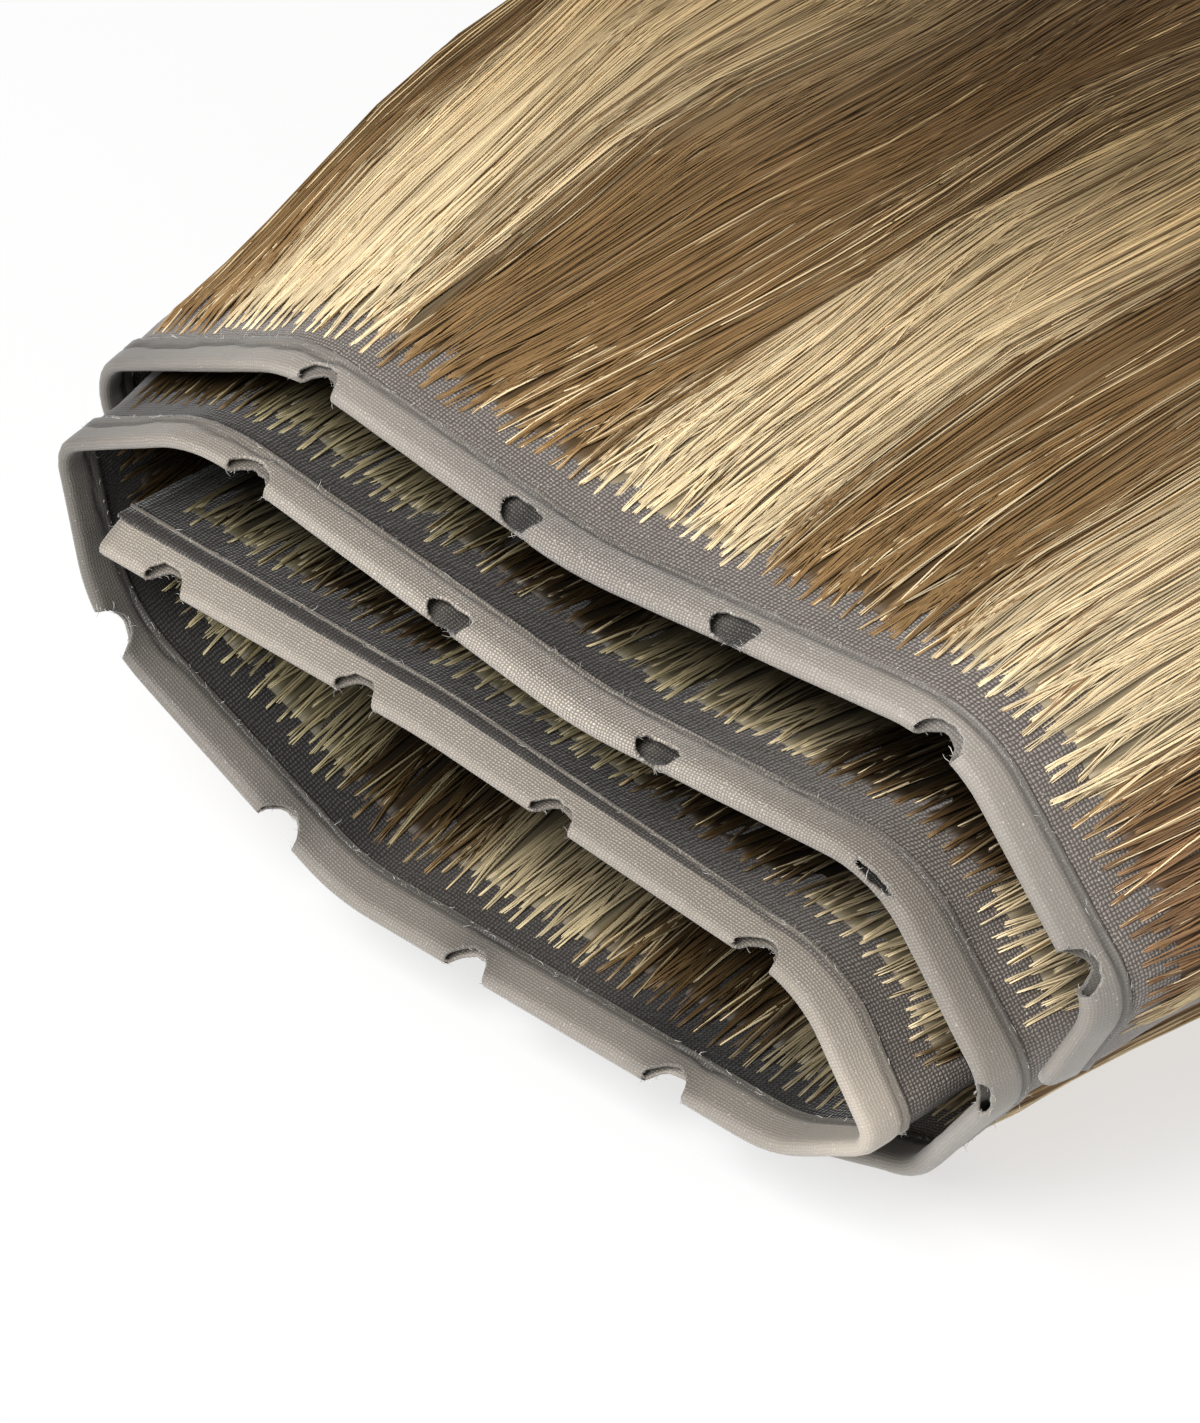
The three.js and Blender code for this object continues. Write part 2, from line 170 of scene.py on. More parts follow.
# Frayed threads along the sewn edge and round the holes.
SEAM_FRAYS = 1500
HOLE_FRAYS = 22
FRAY_RADIUS = 0.018
FRAY_TAPER = (1.0, 0.9, 0.5)
FRAY_SIZES = (0.7, 1.3)
FRAY_INSET = 0.3
FRAY_ALONG = 0.8
FRAY_OUT = (0.05, 0.45)
FRAY_BACK = 0.4
FRAY_SHORTEST = 0.15
FRAY_LONGER = 0.5
FRAY_BEND = 0.05
FRAY_COLOUR = (206, 202, 196)
FRAY_BRIGHT = (0.5, 1.2)
FRAY_SEED = 11
TUBE_SIDES = 3

# Net strip.
STRIP_FRONT = 2.4
STRIP_REAR = 12.6
STRIP_CLOTH = 0.26
STRIP_COLUMN = 0.8
STRIP_ROWS = 12
NET_WAVES = (Wave(0.07, 1.3, 0.4, 0.0), Wave(0.05, 2.1, -0.7, 1.0))
NET_WAVES_OVER = 2.0
# Painted shade of the net inside the roll: how its depth counts, how strongly it darkens, and the lower
# layer's.
NET_DEEPENING = 0.35
NET_CONTRAST = 1.8
NET_LOWER_SHADE = 0.5

# Hair of each layer, from one corner to another: level is the lying layer's middle height, left and right its
# edges there. outer_count and inner_count are the strands in each root tuft on the strip's two faces, and
# back counts the strands that come up between them further behind.
Layer = namedtuple("Layer", "name first last level left right locks outer_count inner_count back")
LAYERS = (
    Layer("inner", "inner_end", "inner_fold", 8.3, -37.0, 47.0, 6, 4, 2, 200),
    Layer("lower", "inner_fold", "left_fold", 4.9, -55.0, 50.0, 7, 2, 4, 200),
    Layer("upper", "left_fold", "right_fold", 11.7, -53.0, 58.0, 7, 4, 2, 200),
    Layer("under", "right_fold", "outer_fold", 1.5, -58.0, 62.0, 7, 3, 2, 200),
    Layer("top", "outer_fold", "outer_end", 15.1, -57.0, 61.0, 8, 8, 2, 2400),
)
HAIR_LENGTH = 342.0
HAIR_START = STRIP_REAR + 0.4
FOLD_CLEARANCE = 2.3
ROOT_THICKNESS = 1.0
BODY_THICKNESS = 3.0
TIP_THICKNESS = 0.7
SPREAD_REACH = 150.0
SETTLE_REACH = 230.0
HAIR_LEAN_MIDDLE = 0.1
HAIR_LEAN_PER_MM = 0.0055
LEAN_REACH = 45.0
TILT_REACH = 18.0
TAIL_NARROWING = 0.18
TIP_POINT = 42.0
TIP_STAGGER = 11.0
STAGGER_TURN = 5.0
TINY = 1e-9
TIP_START = 0.72
GROOVE_LEFT = 0.4
GROOVE_REACH = 60.0
EDGE_LEFT = 0.5
EDGE_SHARE = 0.12
BODY_POWER = 1.5
NORMAL_STEP = 0.004
LEAST_RUN = 1e-6
LOCK_UNEVEN = 0.02
LOCK_TURNS = 5.0
LOCK_WAVE = 0.9
LOCK_WAVE_BACK = 55.0
LOCK_WAVE_ALONG = 23.0
LOCK_WAVE_FROM = 35.0
LOCK_SWELL = 0.4
LOCK_SWELL_BACK = 70.0
LOCK_SWELL_ALONG = 8.5
LOCK_SWELL_FROM = 20.0
SWAY = 2.4
SWAY_LENGTH = 210.0
SWAY_TURNS = 1.3

# Locks of the top layer: sideways lean of the hair rooted at s for each mm back, beyond the bundle's own, and
# how high it puffs up behind its roots.
Flow = namedtuple("Flow", "s lean lift")
FLOWS = (
    Flow(309.0, -0.14, 0.0),
    Flow(319.0, -0.16, 0.2),
    Flow(327.0, -0.16, 0.3),
    Flow(333.0, -0.12, 0.6),
    Flow(337.0, 0.14, 1.8),
    Flow(343.0, 0.18, 2.4),
    Flow(348.0, 0.1, 1.4),
    Flow(351.0, -0.05, 0.4),
    Flow(356.0, -0.12, 0.6),
    Flow(361.0, -0.1, 0.8),
    Flow(366.0, -0.06, 1.2),
    Flow(372.0, -0.06, 0.8),
    Flow(379.0, -0.08, 0.4),
    Flow(386.0, -0.04, 0.8),
    Flow(394.0, 0.0, 0.5),
    Flow(402.0, 0.0, 0.0),
)
FLOW_REACH = 40.0
FLOW_END = 110.0
FLOW_FADE = 150.0
FLOW_SHIFTS = (-2.0, -1.0, 0.0, 1.0, 2.0)
FLOW_WAVES = (Wave(0.018, 0.37, 0.0, 0.0), Wave(0.012, 0.83, 0.0, 1.0))
LIFT_RISE = 22.0
LIFT_END = 28.0
LIFT_FADE = 110.0

# Root tufts: rows behind each other, and the strands that leave them.
TUFT_PITCH = 0.92
FULL_TUFT = 11.0
TUFT_ROWS = (0.0, 1.2, 2.5)
TUFT_ROW_JITTER = 0.25
TUFT_FIRST = 0.25
TUFT_STAGGER = 0.5
TUFT_PLACE_JITTER = 0.15
TUFT_LEAN_DEG = 4.0
TUFT_BRIGHT = 0.08
TUFT_WIDTH = 0.07
THIN_TUFT = 2
FREE_WIDTH = 0.36
CLUMP_WAVES = (Wave(0.26, 2.0 * math.pi / 3.1, 0.0, 0.0), Wave(0.156, 2.0 * math.pi / 1.9, 0.0, 1.0))
HAIR_SEED = 20

# Strands of a tuft: how they differ in place, depth, lean, height, brightness and length.
STRAND_PLACE = 0.04
STRAND_DEPTH = 0.2
STRAND_LEAN_DEG = 1.2
STRAND_LOW = 0.9
STRAND_HIGHER = 0.35
STRAND_BRIGHT = (0.7, 1.3)
STRAND_CUT = 20.0
SHORT_SHARES = (0.22, 0.6)

# Strands further back: where they come up, and how they differ in the same way. Strays stand off more.
BACK_NEAR = (-3.0, 12.0)
BACK_FAR = 110.0
BACK_OUTER_MOST = 0.9
BACK_OUTER_HALF = 0.5
BACK_LEAN = 0.035
BACK_LOW = 0.95
BACK_HIGHER = 0.3
BACK_WIDTH = 0.4
BACK_BRIGHT = (0.64, 1.3)
BACK_LENGTHS = (50.0, 190.0)
STRAY_LEAN = 0.16
STRAY_HEIGHTS = (1.4, 3.2)

# A strand on its way back: it leans, spreads from its tuft, wanders, joins the layer and sinks in at its end.
STRAND_LEAN_REACH = 12.0
FREE_FROM = 0.6
FREE_OVER = 8.0
WANDER = 0.55
WANDER_OVER = 90.0
WANDER_LENGTHS = (37.0, 71.0)
SINK = 0.6
SINK_FROM = 0.8
SINK_OVER = 0.2
ROOT_GAP = 0.03
ROOT_RISE = 0.2
ROOT_RISE_OVER = 2.5
JOIN_FROM = 1.5
JOIN_OVER = 8.0
BACK_START = 0.3
BACK_RISE_OVER = 10.0
UNEVEN = 0.07
UNEVEN_OVER = 12.0

# Thickness of a strand: thick near the root, pointed at root and tip.
STRAND_RADIUS = 0.04
RADIUS_SIZES = (0.7, 1.3)
THICK_OVER = 35.0
ROOT_POINT = 0.6
ROOT_POINT_OVER = 2.0
TIP_TAPER = 0.75
TIP_TAPER_FROM = 0.65
TIP_TAPER_OVER = 0.35
FLOOR_GAP = 0.02

# Rings of a strand: distances from its root in mm, then shares of the rest of its length.
ROOT_STATIONS = np.array([0.0, 0.9, 2.4, 5.5, 10.0, 16.0, 23.0, 32.0, 44.0])
BACK_STATIONS = np.array([0.0, 5.0, 11.0, 18.0, 27.0])
TAIL_STATIONS = np.array([0.1, 0.3, 0.62, 1.0])

# Share of the tuft strands that keep their whole length, and of the back strands that stray.
LONG_SHARE = 0.6
STRAY_SHARE = 0.05

# The inner body of each layer's hair, darker than the strands as painted shade under them: darkest at the
# roots, where it runs on in front of them as a dark sheet between the tufts.
MASS_START = -6.8
MASS_STATIONS = 44
MASS_COLUMNS = 12
MASS_SHARE = 0.82
MASS_LENGTH = 0.93
MASS_CROWDING = 1.5
MASS_SKIN = 0.05
MASS_SWELL_OVER = 14.0
MASS_ROOT_SHADE = 0.3
MASS_SHADE = 0.8
MASS_SHADE_OVER = 26.0

# Where the colour changes along the strip, blond first, then brown and so on in turn.
STRIPE_ENDS = (
    11.4, 22.0, 36.1, 48.0, 60.5, 70.5, 77.4, 89.3, 100.6, 109.6, 126.0, 151.0, 166.1, 176.5, 191.0, 203.2,
    214.0, 227.0, 241.0, 254.0, 267.0, 280.0, 293.0, 318.5, 334.4, 350.0, 361.2, 373.3, 385.2, 397.5,
)
STRIPE_BLUR = 0.8
STRIPE_SLOPE = 0.6

# Painted shade on the hair behind its roots, for both colours, and where it clears again.
FAR_BLOND_SHADE = np.array([0.6, 0.53, 0.41])
FAR_BROWN_SHADE = np.array([0.44, 0.41, 0.37])
FAR_REACH = 42.0
TAIL_FROM = 90.0
TAIL_REACH = 80.0
TAIL_CLEARS = 0.6

# Painted shade inside the roll: darker at the left and some way behind the roots. Values named lower are for
# the lower layer.
HOLLOW_SHADE = np.array([0.4, 0.42, 0.38])
HOLLOW_DEEP_SHADE = np.array([0.05, 0.05, 0.045])
HOLLOW_LEFT = -5.0
LOWER_LEFT = -23.0
LOWER_RIGHT = -5.0
LOWER_FADE = 8.0
LOWER_LEAST = 0.55
LOWER_OVER = 9.0
LOWER_DEEP = 0.7
HOLLOW_FADE = 28.0
HOLLOW_END = 45.0
HOLLOW_FROM = 5.0
HOLLOW_OVER = 6.0
BROWN_DEEPER = 2.0

# Colour changes: redder brown near the outer end, a mixed lock, and locks that slide and differ in shade,
# partly by their own tone and partly by painted shade between locks.
AUBURN_FROM = 385.0
AUBURN_OVER = 4.0
MIXED_AT = 380.5
MIXED_WIDTH = 4.0
MIXED_SHARE = 0.4
MIXED_OVER = 12.0
LATE_FROM = 6.0
LATE_OVER = 40.0
SLIDE_WAVES = (Wave(0.3, 0.5, -0.05, 2.0), Wave(0.25, 1.13, 0.06, 0.0))
SHADE_WAVES = (Wave(0.2, 1.7, 0.04, 0.0), Wave(0.16, 0.71, -0.07, 1.0))

# Share of strays in blond and in brown hair, and how far along the strip a stray takes its colour from.
STRAYS_IN_BLOND = 0.05
STRAYS_IN_BROWN = 0.13
STRAY_SLIP = 11.0

# Cloths and hair finishes. Colours are screen colours, pitch is in mm, and stretch scales the streaks' place.
Cloth = namedtuple("Cloth", "name pitch thread groove warm roughness bump")
HEM_FINISH = Cloth("hem_cloth", 0.21, (172, 165, 156), (92, 86, 80), (192, 181, 166), 0.5, 1.0)
NET_FINISH = Cloth("net_cloth", 0.25, (178, 168, 158), (78, 70, 65), (178, 168, 158), 0.65, 0.9)
Hair = namedtuple("Hair", "name coordinate stretch roughness contrast bump")
STRAND_FINISH = Hair("strand_hair", "Object", (900.0, 18.0, 900.0), 0.42, 0.2, 0.0)
MASS_FINISH = Hair("mass_hair", "UV", (6.0, 0.08, 1.0), 0.5, 0.9, 0.6)
FRAY_FINISH = Hair("fray_thread", "Object", (900.0, 900.0, 900.0), 0.7, 0.3, 0.0)
HAIR_SPECULAR = 0.45
HAIR_BUMP_HEIGHT = 0.2
# Streaks along the hair: scale and strength of each noise.
STREAKS = ((1.0, 1.5), (0.3, 1.3), (0.09, 0.8))
WEAVE_PULL = 0.3
WEAVE_PULL_SCALE = 1.3
WEAVE_POWER = 1.2
WEAVE_HEIGHT = 0.06
NOISE_DETAIL = 2.0
# Noise over the cloth: the output it feeds, its scale and its detail.
CLOTH_NOISES = (("Uneven", 0.7, 3.0), ("SpecksGlints", 5.5, 1.0))
PATCH_GAIN = 0.5
PATCH_SHIFT = -0.05
# Pale specks on the cloth: partly its pale fibres, partly painted glints of the silky threads.
SPECK_GLINT_GAIN = 12.0
SPECK_GLINT_SHIFT = -8.2
SPECK_GLINT_MOST = 0.5
SPECK_GLINT_COLOUR = (235, 232, 226)
ROUGH_GAIN = 0.2
SHEEN_WEIGHT = 0.25
SHEEN_ROUGHNESS = 0.4

# Stage, in metres: a pale floor that glows a little, even light all round, and two soft lamps.
FLOOR_HALF = 6.0
FLOOR_TONES = (0.32, 0.34)
FLOOR_NOISE = 6.0
FLOOR_ROUGHNESS = 0.9
FLOOR_GLOW = 0.62
WORLD_STRENGTH = 0.25
WHITE = (1.0, 1.0, 1.0, 1.0)
CLIP = (0.01, 20.0)
Lamp = namedtuple("Lamp", "name place size power")
LAMPS = (
    Lamp("key_light", (0.05, -0.72, 0.72), 0.45, 9.6),
    Lamp("front_fill", (0.1, -1.0, 0.22), 0.5, 2.0),
)


def srgb(red, green, blue):
    """Linear colour of a screen colour given as 0 to 255, by the screen's own power curve."""
    value = np.array([red, green, blue]) / 255.0
    linear = np.where(value <= 0.04045, value / 12.92, ((value + 0.055) / 1.055) ** 2.4)
    return tuple(float(v) for v in linear)


def mix(a, b, t):
    """Straight blend from a to b."""
    return a + (b - a) * t


def smooth(t):
    """Ease from 0 to 1: 3t squared minus 2t cubed, held outside."""
    t = np.clip(t, 0.0, 1.0)
    return t * t * (3.0 - 2.0 * t)


def bell(t):
    """Bell curve: e to the minus t squared."""
    return np.exp(-(t**2))


def level_off(back, reach):
    """Distance that grows with back and levels off at the reach.

    It is the reach times one less e to the minus back over reach.
    """
    return reach * (1.0 - np.exp(-back / reach))


def ripple(waves, s, back=0.0):
    """Sum of waves: each is its size times the sine of its turns along the strip and back, from its start."""
    return sum(wave.size * np.sin(wave.by_s * s + wave.by_back * back + wave.start) for wave in waves)


def roll_path():
    """The roll's line: each corner becomes an arc that touches both runs, and straight runs join the arcs.

    Returns arrays of length so far, x, z and heading, and the length at each corner's middle.
    """
    xs, zs, headings, middles = [CORNERS[0].x], [CORNERS[0].z], [], [0]
    for before, corner, after in zip(CORNERS, CORNERS[1:], CORNERS[2:]):
        start = math.atan2(corner.z - before.z, corner.x - before.x)
        end = math.atan2(after.z - corner.z, after.x - corner.x)
        turn = (end - start + math.pi) % (2.0 * math.pi) - math.pi
        side = math.copysign(1.0, turn)
        reach = corner.radius * math.tan(abs(turn) / 2.0)
        centre_x = corner.x - reach * math.cos(start) - side * corner.radius * math.sin(start)
        centre_z = corner.z - reach * math.sin(start) + side * corner.radius * math.cos(start)
        angle = start + turn * np.linspace(0.0, 1.0, ARC_STEPS + 1)
        if not headings:
            headings.append(start)
        middles.append(len(xs) + ARC_STEPS // 2)
        xs.extend(centre_x + side * corner.radius * np.sin(angle))
        zs.extend(centre_z - side * corner.radius * np.cos(angle))
        headings.extend(angle)
    xs.append(CORNERS[-1].x)
    zs.append(CORNERS[-1].z)
    headings.append(headings[-1])
    middles.append(len(xs) - 1)
    length = np.concatenate([[0.0], np.cumsum(np.hypot(np.diff(xs), np.diff(zs)))])
    return length, np.array(xs), np.array(zs), np.unwrap(headings), length[middles]


PATH_S, PATH_X, PATH_Z, PATH_HEADING, CORNER_S = roll_path()
STRIP_LENGTH = float(PATH_S[-1])
CORNER_AT = {corner.name: s for corner, s in zip(CORNERS, CORNER_S)}


def along_corners(column, s):
    """A corner table's column along the strip: straight between corners, averaged over a short stretch."""
    values = [getattr(corner, column) for corner in CORNERS]
    shifts = np.linspace(-0.5, 0.5, SET_SAMPLES) * SET_SMOOTHING
    return np.mean([np.interp(s + shift, CORNER_S, values) for shift in shifts], axis=0)


def strip_point(s, depth, offset):
    """Point of the strip in the drawing: the path at s, moved behind the fold by depth and out by offset.

    Going back it leans sideways by the fan and rises by the tilt; out is the outer face's normal.
    """
    x = np.interp(s, PATH_S, PATH_X)
    z = np.interp(s, PATH_S, PATH_Z)
    heading = np.interp(s, PATH_S, PATH_HEADING)
    lean = FAN_MIDDLE + FAN_PER_MM * x
    return np.stack(
        [
            x + lean * depth - np.sin(heading) * offset,
            along_corners("set_back", s) + depth,
            z + along_corners("tilt", s) * depth + np.cos(heading) * offset,
        ],
        axis=-1,
    )


def drawing_origin():
    """Where the drawing's origin lies in the frame, in mm, from the hem solid's box."""
    low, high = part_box("hem_band")
    s = np.linspace(0.0, STRIP_LENGTH, BOX_SAMPLES)
    reach = strip_point(s, HEM_DEPTH, CAD_HEM_HALF)[:, 0].max()
    front = min(corner.set_back for corner in CORNERS)
    return np.array([high.x / MM - reach, low.y / MM - front, 0.0])


ORIGIN = drawing_origin()


def to_frame(points):
    """Drawing millimetres to the frame's metres."""
    return (points + ORIGIN) * MM


def make_piece(name, points, faces, material, uv=None, colours=None):
    """A mesh object at the origin from arrays: points in mm, faces all of one size, smooth shaded."""
    mesh = bpy.data.meshes.new(name)
    mesh.vertices.add(len(points))
    mesh.vertices.foreach_set("co", to_frame(points).astype(np.float32).ravel())
    mesh.loops.add(faces.size)
    mesh.loops.foreach_set("vertex_index", faces.astype(np.int32).ravel())
    mesh.polygons.add(len(faces))
    mesh.polygons.foreach_set("loop_start", np.arange(0, faces.size, faces.shape[1], dtype=np.int32))
    mesh.update(calc_edges=True)
    if uv is not None:
        layer = mesh.uv_layers.new(name="cloth_mm")
        layer.data.foreach_set("uv", uv[faces.ravel()].astype(np.float32).ravel())
    if colours is not None:
        tint = mesh.color_attributes.new(name="tint", type="FLOAT_COLOR", domain="POINT")
        rgba = np.concatenate([colours, np.ones((len(colours), 1))], axis=1)
        tint.data.foreach_set("color", rgba.astype(np.float32).ravel())
    mesh.shade_smooth()
    mesh.materials.append(material)
    piece = bpy.data.objects.new(name, mesh)
    bpy.context.scene.collection.objects.link(piece)
    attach(piece, "root")
    return piece


def grid_faces(index):
    """Quads of a grid of point numbers, column by column, facing column direction cross row direction."""
    corners = [index[:-1, :-1], index[1:, :-1], index[1:, 1:], index[:-1, 1:]]
    return np.stack(corners, axis=-1).reshape(-1, 4)


def tube_mesh(paths, radii, across=(1.0, 0.0, 0.0), beside=(0.0, 0.0, 1.0)):
    """Closed thin tubes: a ring round each path point, in the plane of two directions, and end faces.

    paths is tubes by stations by 3, radii tubes by stations. Returns points and triangles.
    """
    tubes, stations, _ = paths.shape
    sides = TUBE_SIDES
    angle = (2.0 * np.pi * np.arange(sides) / sides)[:, None]
    across, beside = (np.atleast_2d(way)[:, None, :] for way in (across, beside))
    ring = np.cos(angle) * across + np.sin(angle) * beside
    points = paths[:, :, None, :] + radii[:, :, None, None] * ring[:, None]
    station = np.arange(stations - 1)[:, None] * sides
    side = np.arange(sides)[None, :]
    after = (side + 1) % sides
    a, b = station + side, station + after
    c, d = a + sides, b + sides
    wall = np.concatenate([np.stack([a, c, d], -1).reshape(-1, 3), np.stack([a, d, b], -1).reshape(-1, 3)])
    fan = np.arange(1, sides - 1)
    root_cap = np.stack([np.zeros_like(fan), fan, fan + 1], -1)
    tip_cap = np.stack([np.zeros_like(fan), fan + 1, fan], -1) + (stations - 1) * sides
    pattern = np.concatenate([wall, root_cap, tip_cap])
    faces = pattern[None] + (np.arange(tubes) * stations * sides)[:, None, None]
    return points.reshape(-1, 3), faces.reshape(-1, 3)


def thicken(piece, thickness, offset):
    """Gives an open sheet its cloth thickness."""
    solid = piece.modifiers.new("cloth", "SOLIDIFY")
    solid.thickness = thickness * MM
    solid.offset = offset
    solid.use_even_offset = True
    solid.use_rim = True


# Hem.
def is_listed(places, listed):
    """Whether each place is close to one in the list."""
    return (np.abs(places[..., None] - np.array(listed)) < LISTED_WITHIN).any(axis=-1)


def hole_places():
    """Middle of each open punched hole along the strip."""
    places = np.concatenate([run.first + run.pitch * np.arange(run.count) for run in HOLE_RUNS])
    places = places[~is_listed(places, CLOSED_HOLES)]
    return places + MOVED_BY * is_listed(places, MOVED_HOLES)


def nearest_hole(s):
    """The punched hole nearest to each place along the strip."""
    holes = hole_places()
    return holes[np.abs(s[..., None] - holes).argmin(axis=-1)]


def shield_share(hole):
    """How far a hole is a shield, from 0 to 1: those that lie higher on the outer face are."""
    return smooth((along_corners("lift", hole) - SHIELD_FROM) / SHIELD_OVER)


def hole_edges(hole, across):
    """Cloth distances of a hole's upper and lower edge at a place across it from -1 to 1.

    Holes on the nose are round arches. Those higher on the outer face are shields, wide above, pointed below.
    """
    inside = np.clip(np.abs(across), 0.0, 1.0)
    reach = along_corners("reach", hole) * np.where(is_listed(hole, PRESSED_HOLES), PRESSED_SHARE, 1.0)
    shield = shield_share(hole)
    shape = HoleShape(*(mix(arch, full, shield) for arch, full in zip(ARCH, SHIELD)))
    level = along_corners("lift", hole) + shape.raised * reach
    upper = shape.upper * reach * (1.0 - inside**shape.upper_power) ** UPPER_ROUND
    lower = shape.lower * reach * (1.0 - inside**LOWER_ROUND) ** shape.lower_power
    return level + upper, level - lower


def hem_columns():
    """Lengths along the strip where the hem has columns: even ones, and sine-spaced ones across each hole."""
    holes = hole_places()
    even = np.linspace(0.0, STRIP_LENGTH, int(STRIP_LENGTH / HEM_COLUMN))
    far = np.abs(even[:, None] - holes).min(axis=1) > HOLE_HALF_WIDTH + HOLE_MARGIN * HEM_COLUMN
    across = np.sin(np.linspace(-0.5, 0.5, HOLE_COLUMNS) * np.pi)
    return np.sort(np.concatenate([even[far], (holes[:, None] + HOLE_HALF_WIDTH * across).ravel()]))


def hem_puff(s):
    """The hem's nose radius: the corner table's, fuller behind each hole than before it, with small waves."""
    past = s - nearest_hole(s)
    swell = SWELL_PER_MM * past * bell(past / SWELL_REACH) - PINCH * bell(past / PINCH_REACH)
    return along_corners("puff", s) * (1.0 + swell + ripple(PUFF_WAVES, s))


def hem_rear(puff, sewn):
    """Cloth distance from the nose to the sewn edge."""
    return 0.5 * np.pi * puff + sewn - puff


def seam_place(puff):
    """Distance of the stitched crease before the sewn edge: further where the hem is pressed flat."""
    return mix(SEAM_FLAT, SEAM_FULL, smooth((puff - SEAM_PUFF) / SEAM_PUFF_OVER))


def hem_section(v, puff, droop, sewn):
    """Depth and offset of the cloth at distance v from the nose.

    A round nose, then two plies that close up, with a groove just before the sewn edge. The whole section is
    turned about the sewn edge, so that the nose moves by the droop.
    """
    quarter = 0.5 * np.pi * puff
    angle = np.clip(v / puff, -0.5 * np.pi, 0.5 * np.pi)
    behind = np.clip((np.abs(v) - quarter) / (sewn - puff), 0.0, 1.0)
    depth = puff * (1.0 - np.cos(angle)) + behind * (sewn - puff)
    left = hem_rear(puff, sewn) - np.abs(v)
    relief = -SEAM_GROOVE * bell((left - seam_place(puff)) / SEAM_GROOVE_WIDTH)
    offset = puff * np.sin(angle) + np.sign(v) * ((HEM_REAR_HALF - puff) * smooth(behind) + relief)
    turn = droop / sewn
    ahead = sewn - depth
    return sewn - np.cos(turn) * ahead - np.sin(turn) * offset, np.cos(turn) * offset - np.sin(turn) * ahead


def hem_tints(s, v, puff, rear):
    """Tint of the hem's cloth: its warm share, its shade and how clear the weave is.

    The painted shade deepens in the stitched crease and behind it, on the inner face, and inside each hole.
    """
    hole = nearest_hole(s)
    before = rear[:, None] - np.abs(v) - seam_place(puff)[:, None]
    shade = 1.0 - CREASE_SHADE * bell(before / CREASE_WIDTH)
    shade = shade - RAW_EDGE_SHADE * smooth(-before / RAW_EDGE_WIDTH)
    shade = shade - INNER_SHADE * smooth((INNER_FROM - v) / INNER_OVER)
    within = mix(ARCH_SHADE, SHIELD_SHADE, shield_share(hole)) * bell((s - hole) / HOLE_SHADE_REACH)
    shade = shade * (1.0 - within[:, None] * smooth(-v / HOLE_SHADE_OVER))
    # Tone from the corner table: mostly painted light and shade, partly the cloth's own tone.
    columns = (along_corners(key, s)[:, None] for key in ("warm", "tone", "weave"))
    warm, tone, clear = (np.broadcast_to(column, v.shape) for column in columns)
    return np.stack([warm, shade * tone, clear], axis=-1).reshape(-1, 3)


def make_hem(material):
    """The hem as a surface of length s and cloth distance v, opened along a line wherever a hole is punched.

    The outer ply's rows run from the hole's upper edge to the sewn edge, the inner ply's from its lower edge.
    """
    rng = np.random.default_rng(HEM_SEED)
    s = hem_columns()
    puff = hem_puff(s)
    droop, sewn = along_corners("droop", s), along_corners("sewn", s)
    rear = hem_rear(puff, sewn)
    holes, hole = hole_places(), nearest_hole(s)
    across = (s - hole) / HOLE_HALF_WIDTH
    in_hole = np.abs(across) < JUST_INSIDE
    closed = np.interp(s, holes, hole_edges(holes, np.ones(len(holes)))[0])
    rag = HOLE_RAG * rng.normal(size=(2, len(s)))
    edges = zip(hole_edges(hole, across), rag)
    upper, lower = (np.where(in_hole, edge + rough, closed) for edge, rough in edges)
    front_rows = np.linspace(0.0, SEAM_SHARE, HEM_ROWS_FRONT, endpoint=False)
    rows = np.concatenate([front_rows, np.linspace(SEAM_SHARE, 1.0, HEM_ROWS_SEAM)])
    v_outer = mix(upper[:, None], rear[:, None], rows)
    v_inner = mix(lower[:, None], -rear[:, None], rows[::-1])
    v = np.concatenate([v_inner, v_outer], axis=1)
    ss = np.broadcast_to(s[:, None], v.shape)
    depth, offset = hem_section(v, puff[:, None], droop[:, None], sewn[:, None])
    points = strip_point(ss, depth, offset).reshape(-1, 3)
    index = np.arange(v.size).reshape(v.shape)
    split = len(rows)
    index[~in_hole, split] = index[~in_hole, split - 1]
    faces = np.concatenate([grid_faces(ply) for ply in (index[:, :split], index[:, split:])])
    uv = np.stack([ss, v], axis=-1).reshape(-1, 2)
    tints = hem_tints(s, v, puff, rear)
    used, compact = np.unique(faces, return_inverse=True)
    hem = make_piece("hem_cloth", points[used], compact.reshape(-1, 4), material, uv[used], tints[used])
    thicken(hem, HEM_CLOTH, -1.0)
    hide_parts("hem_band")
    return hem


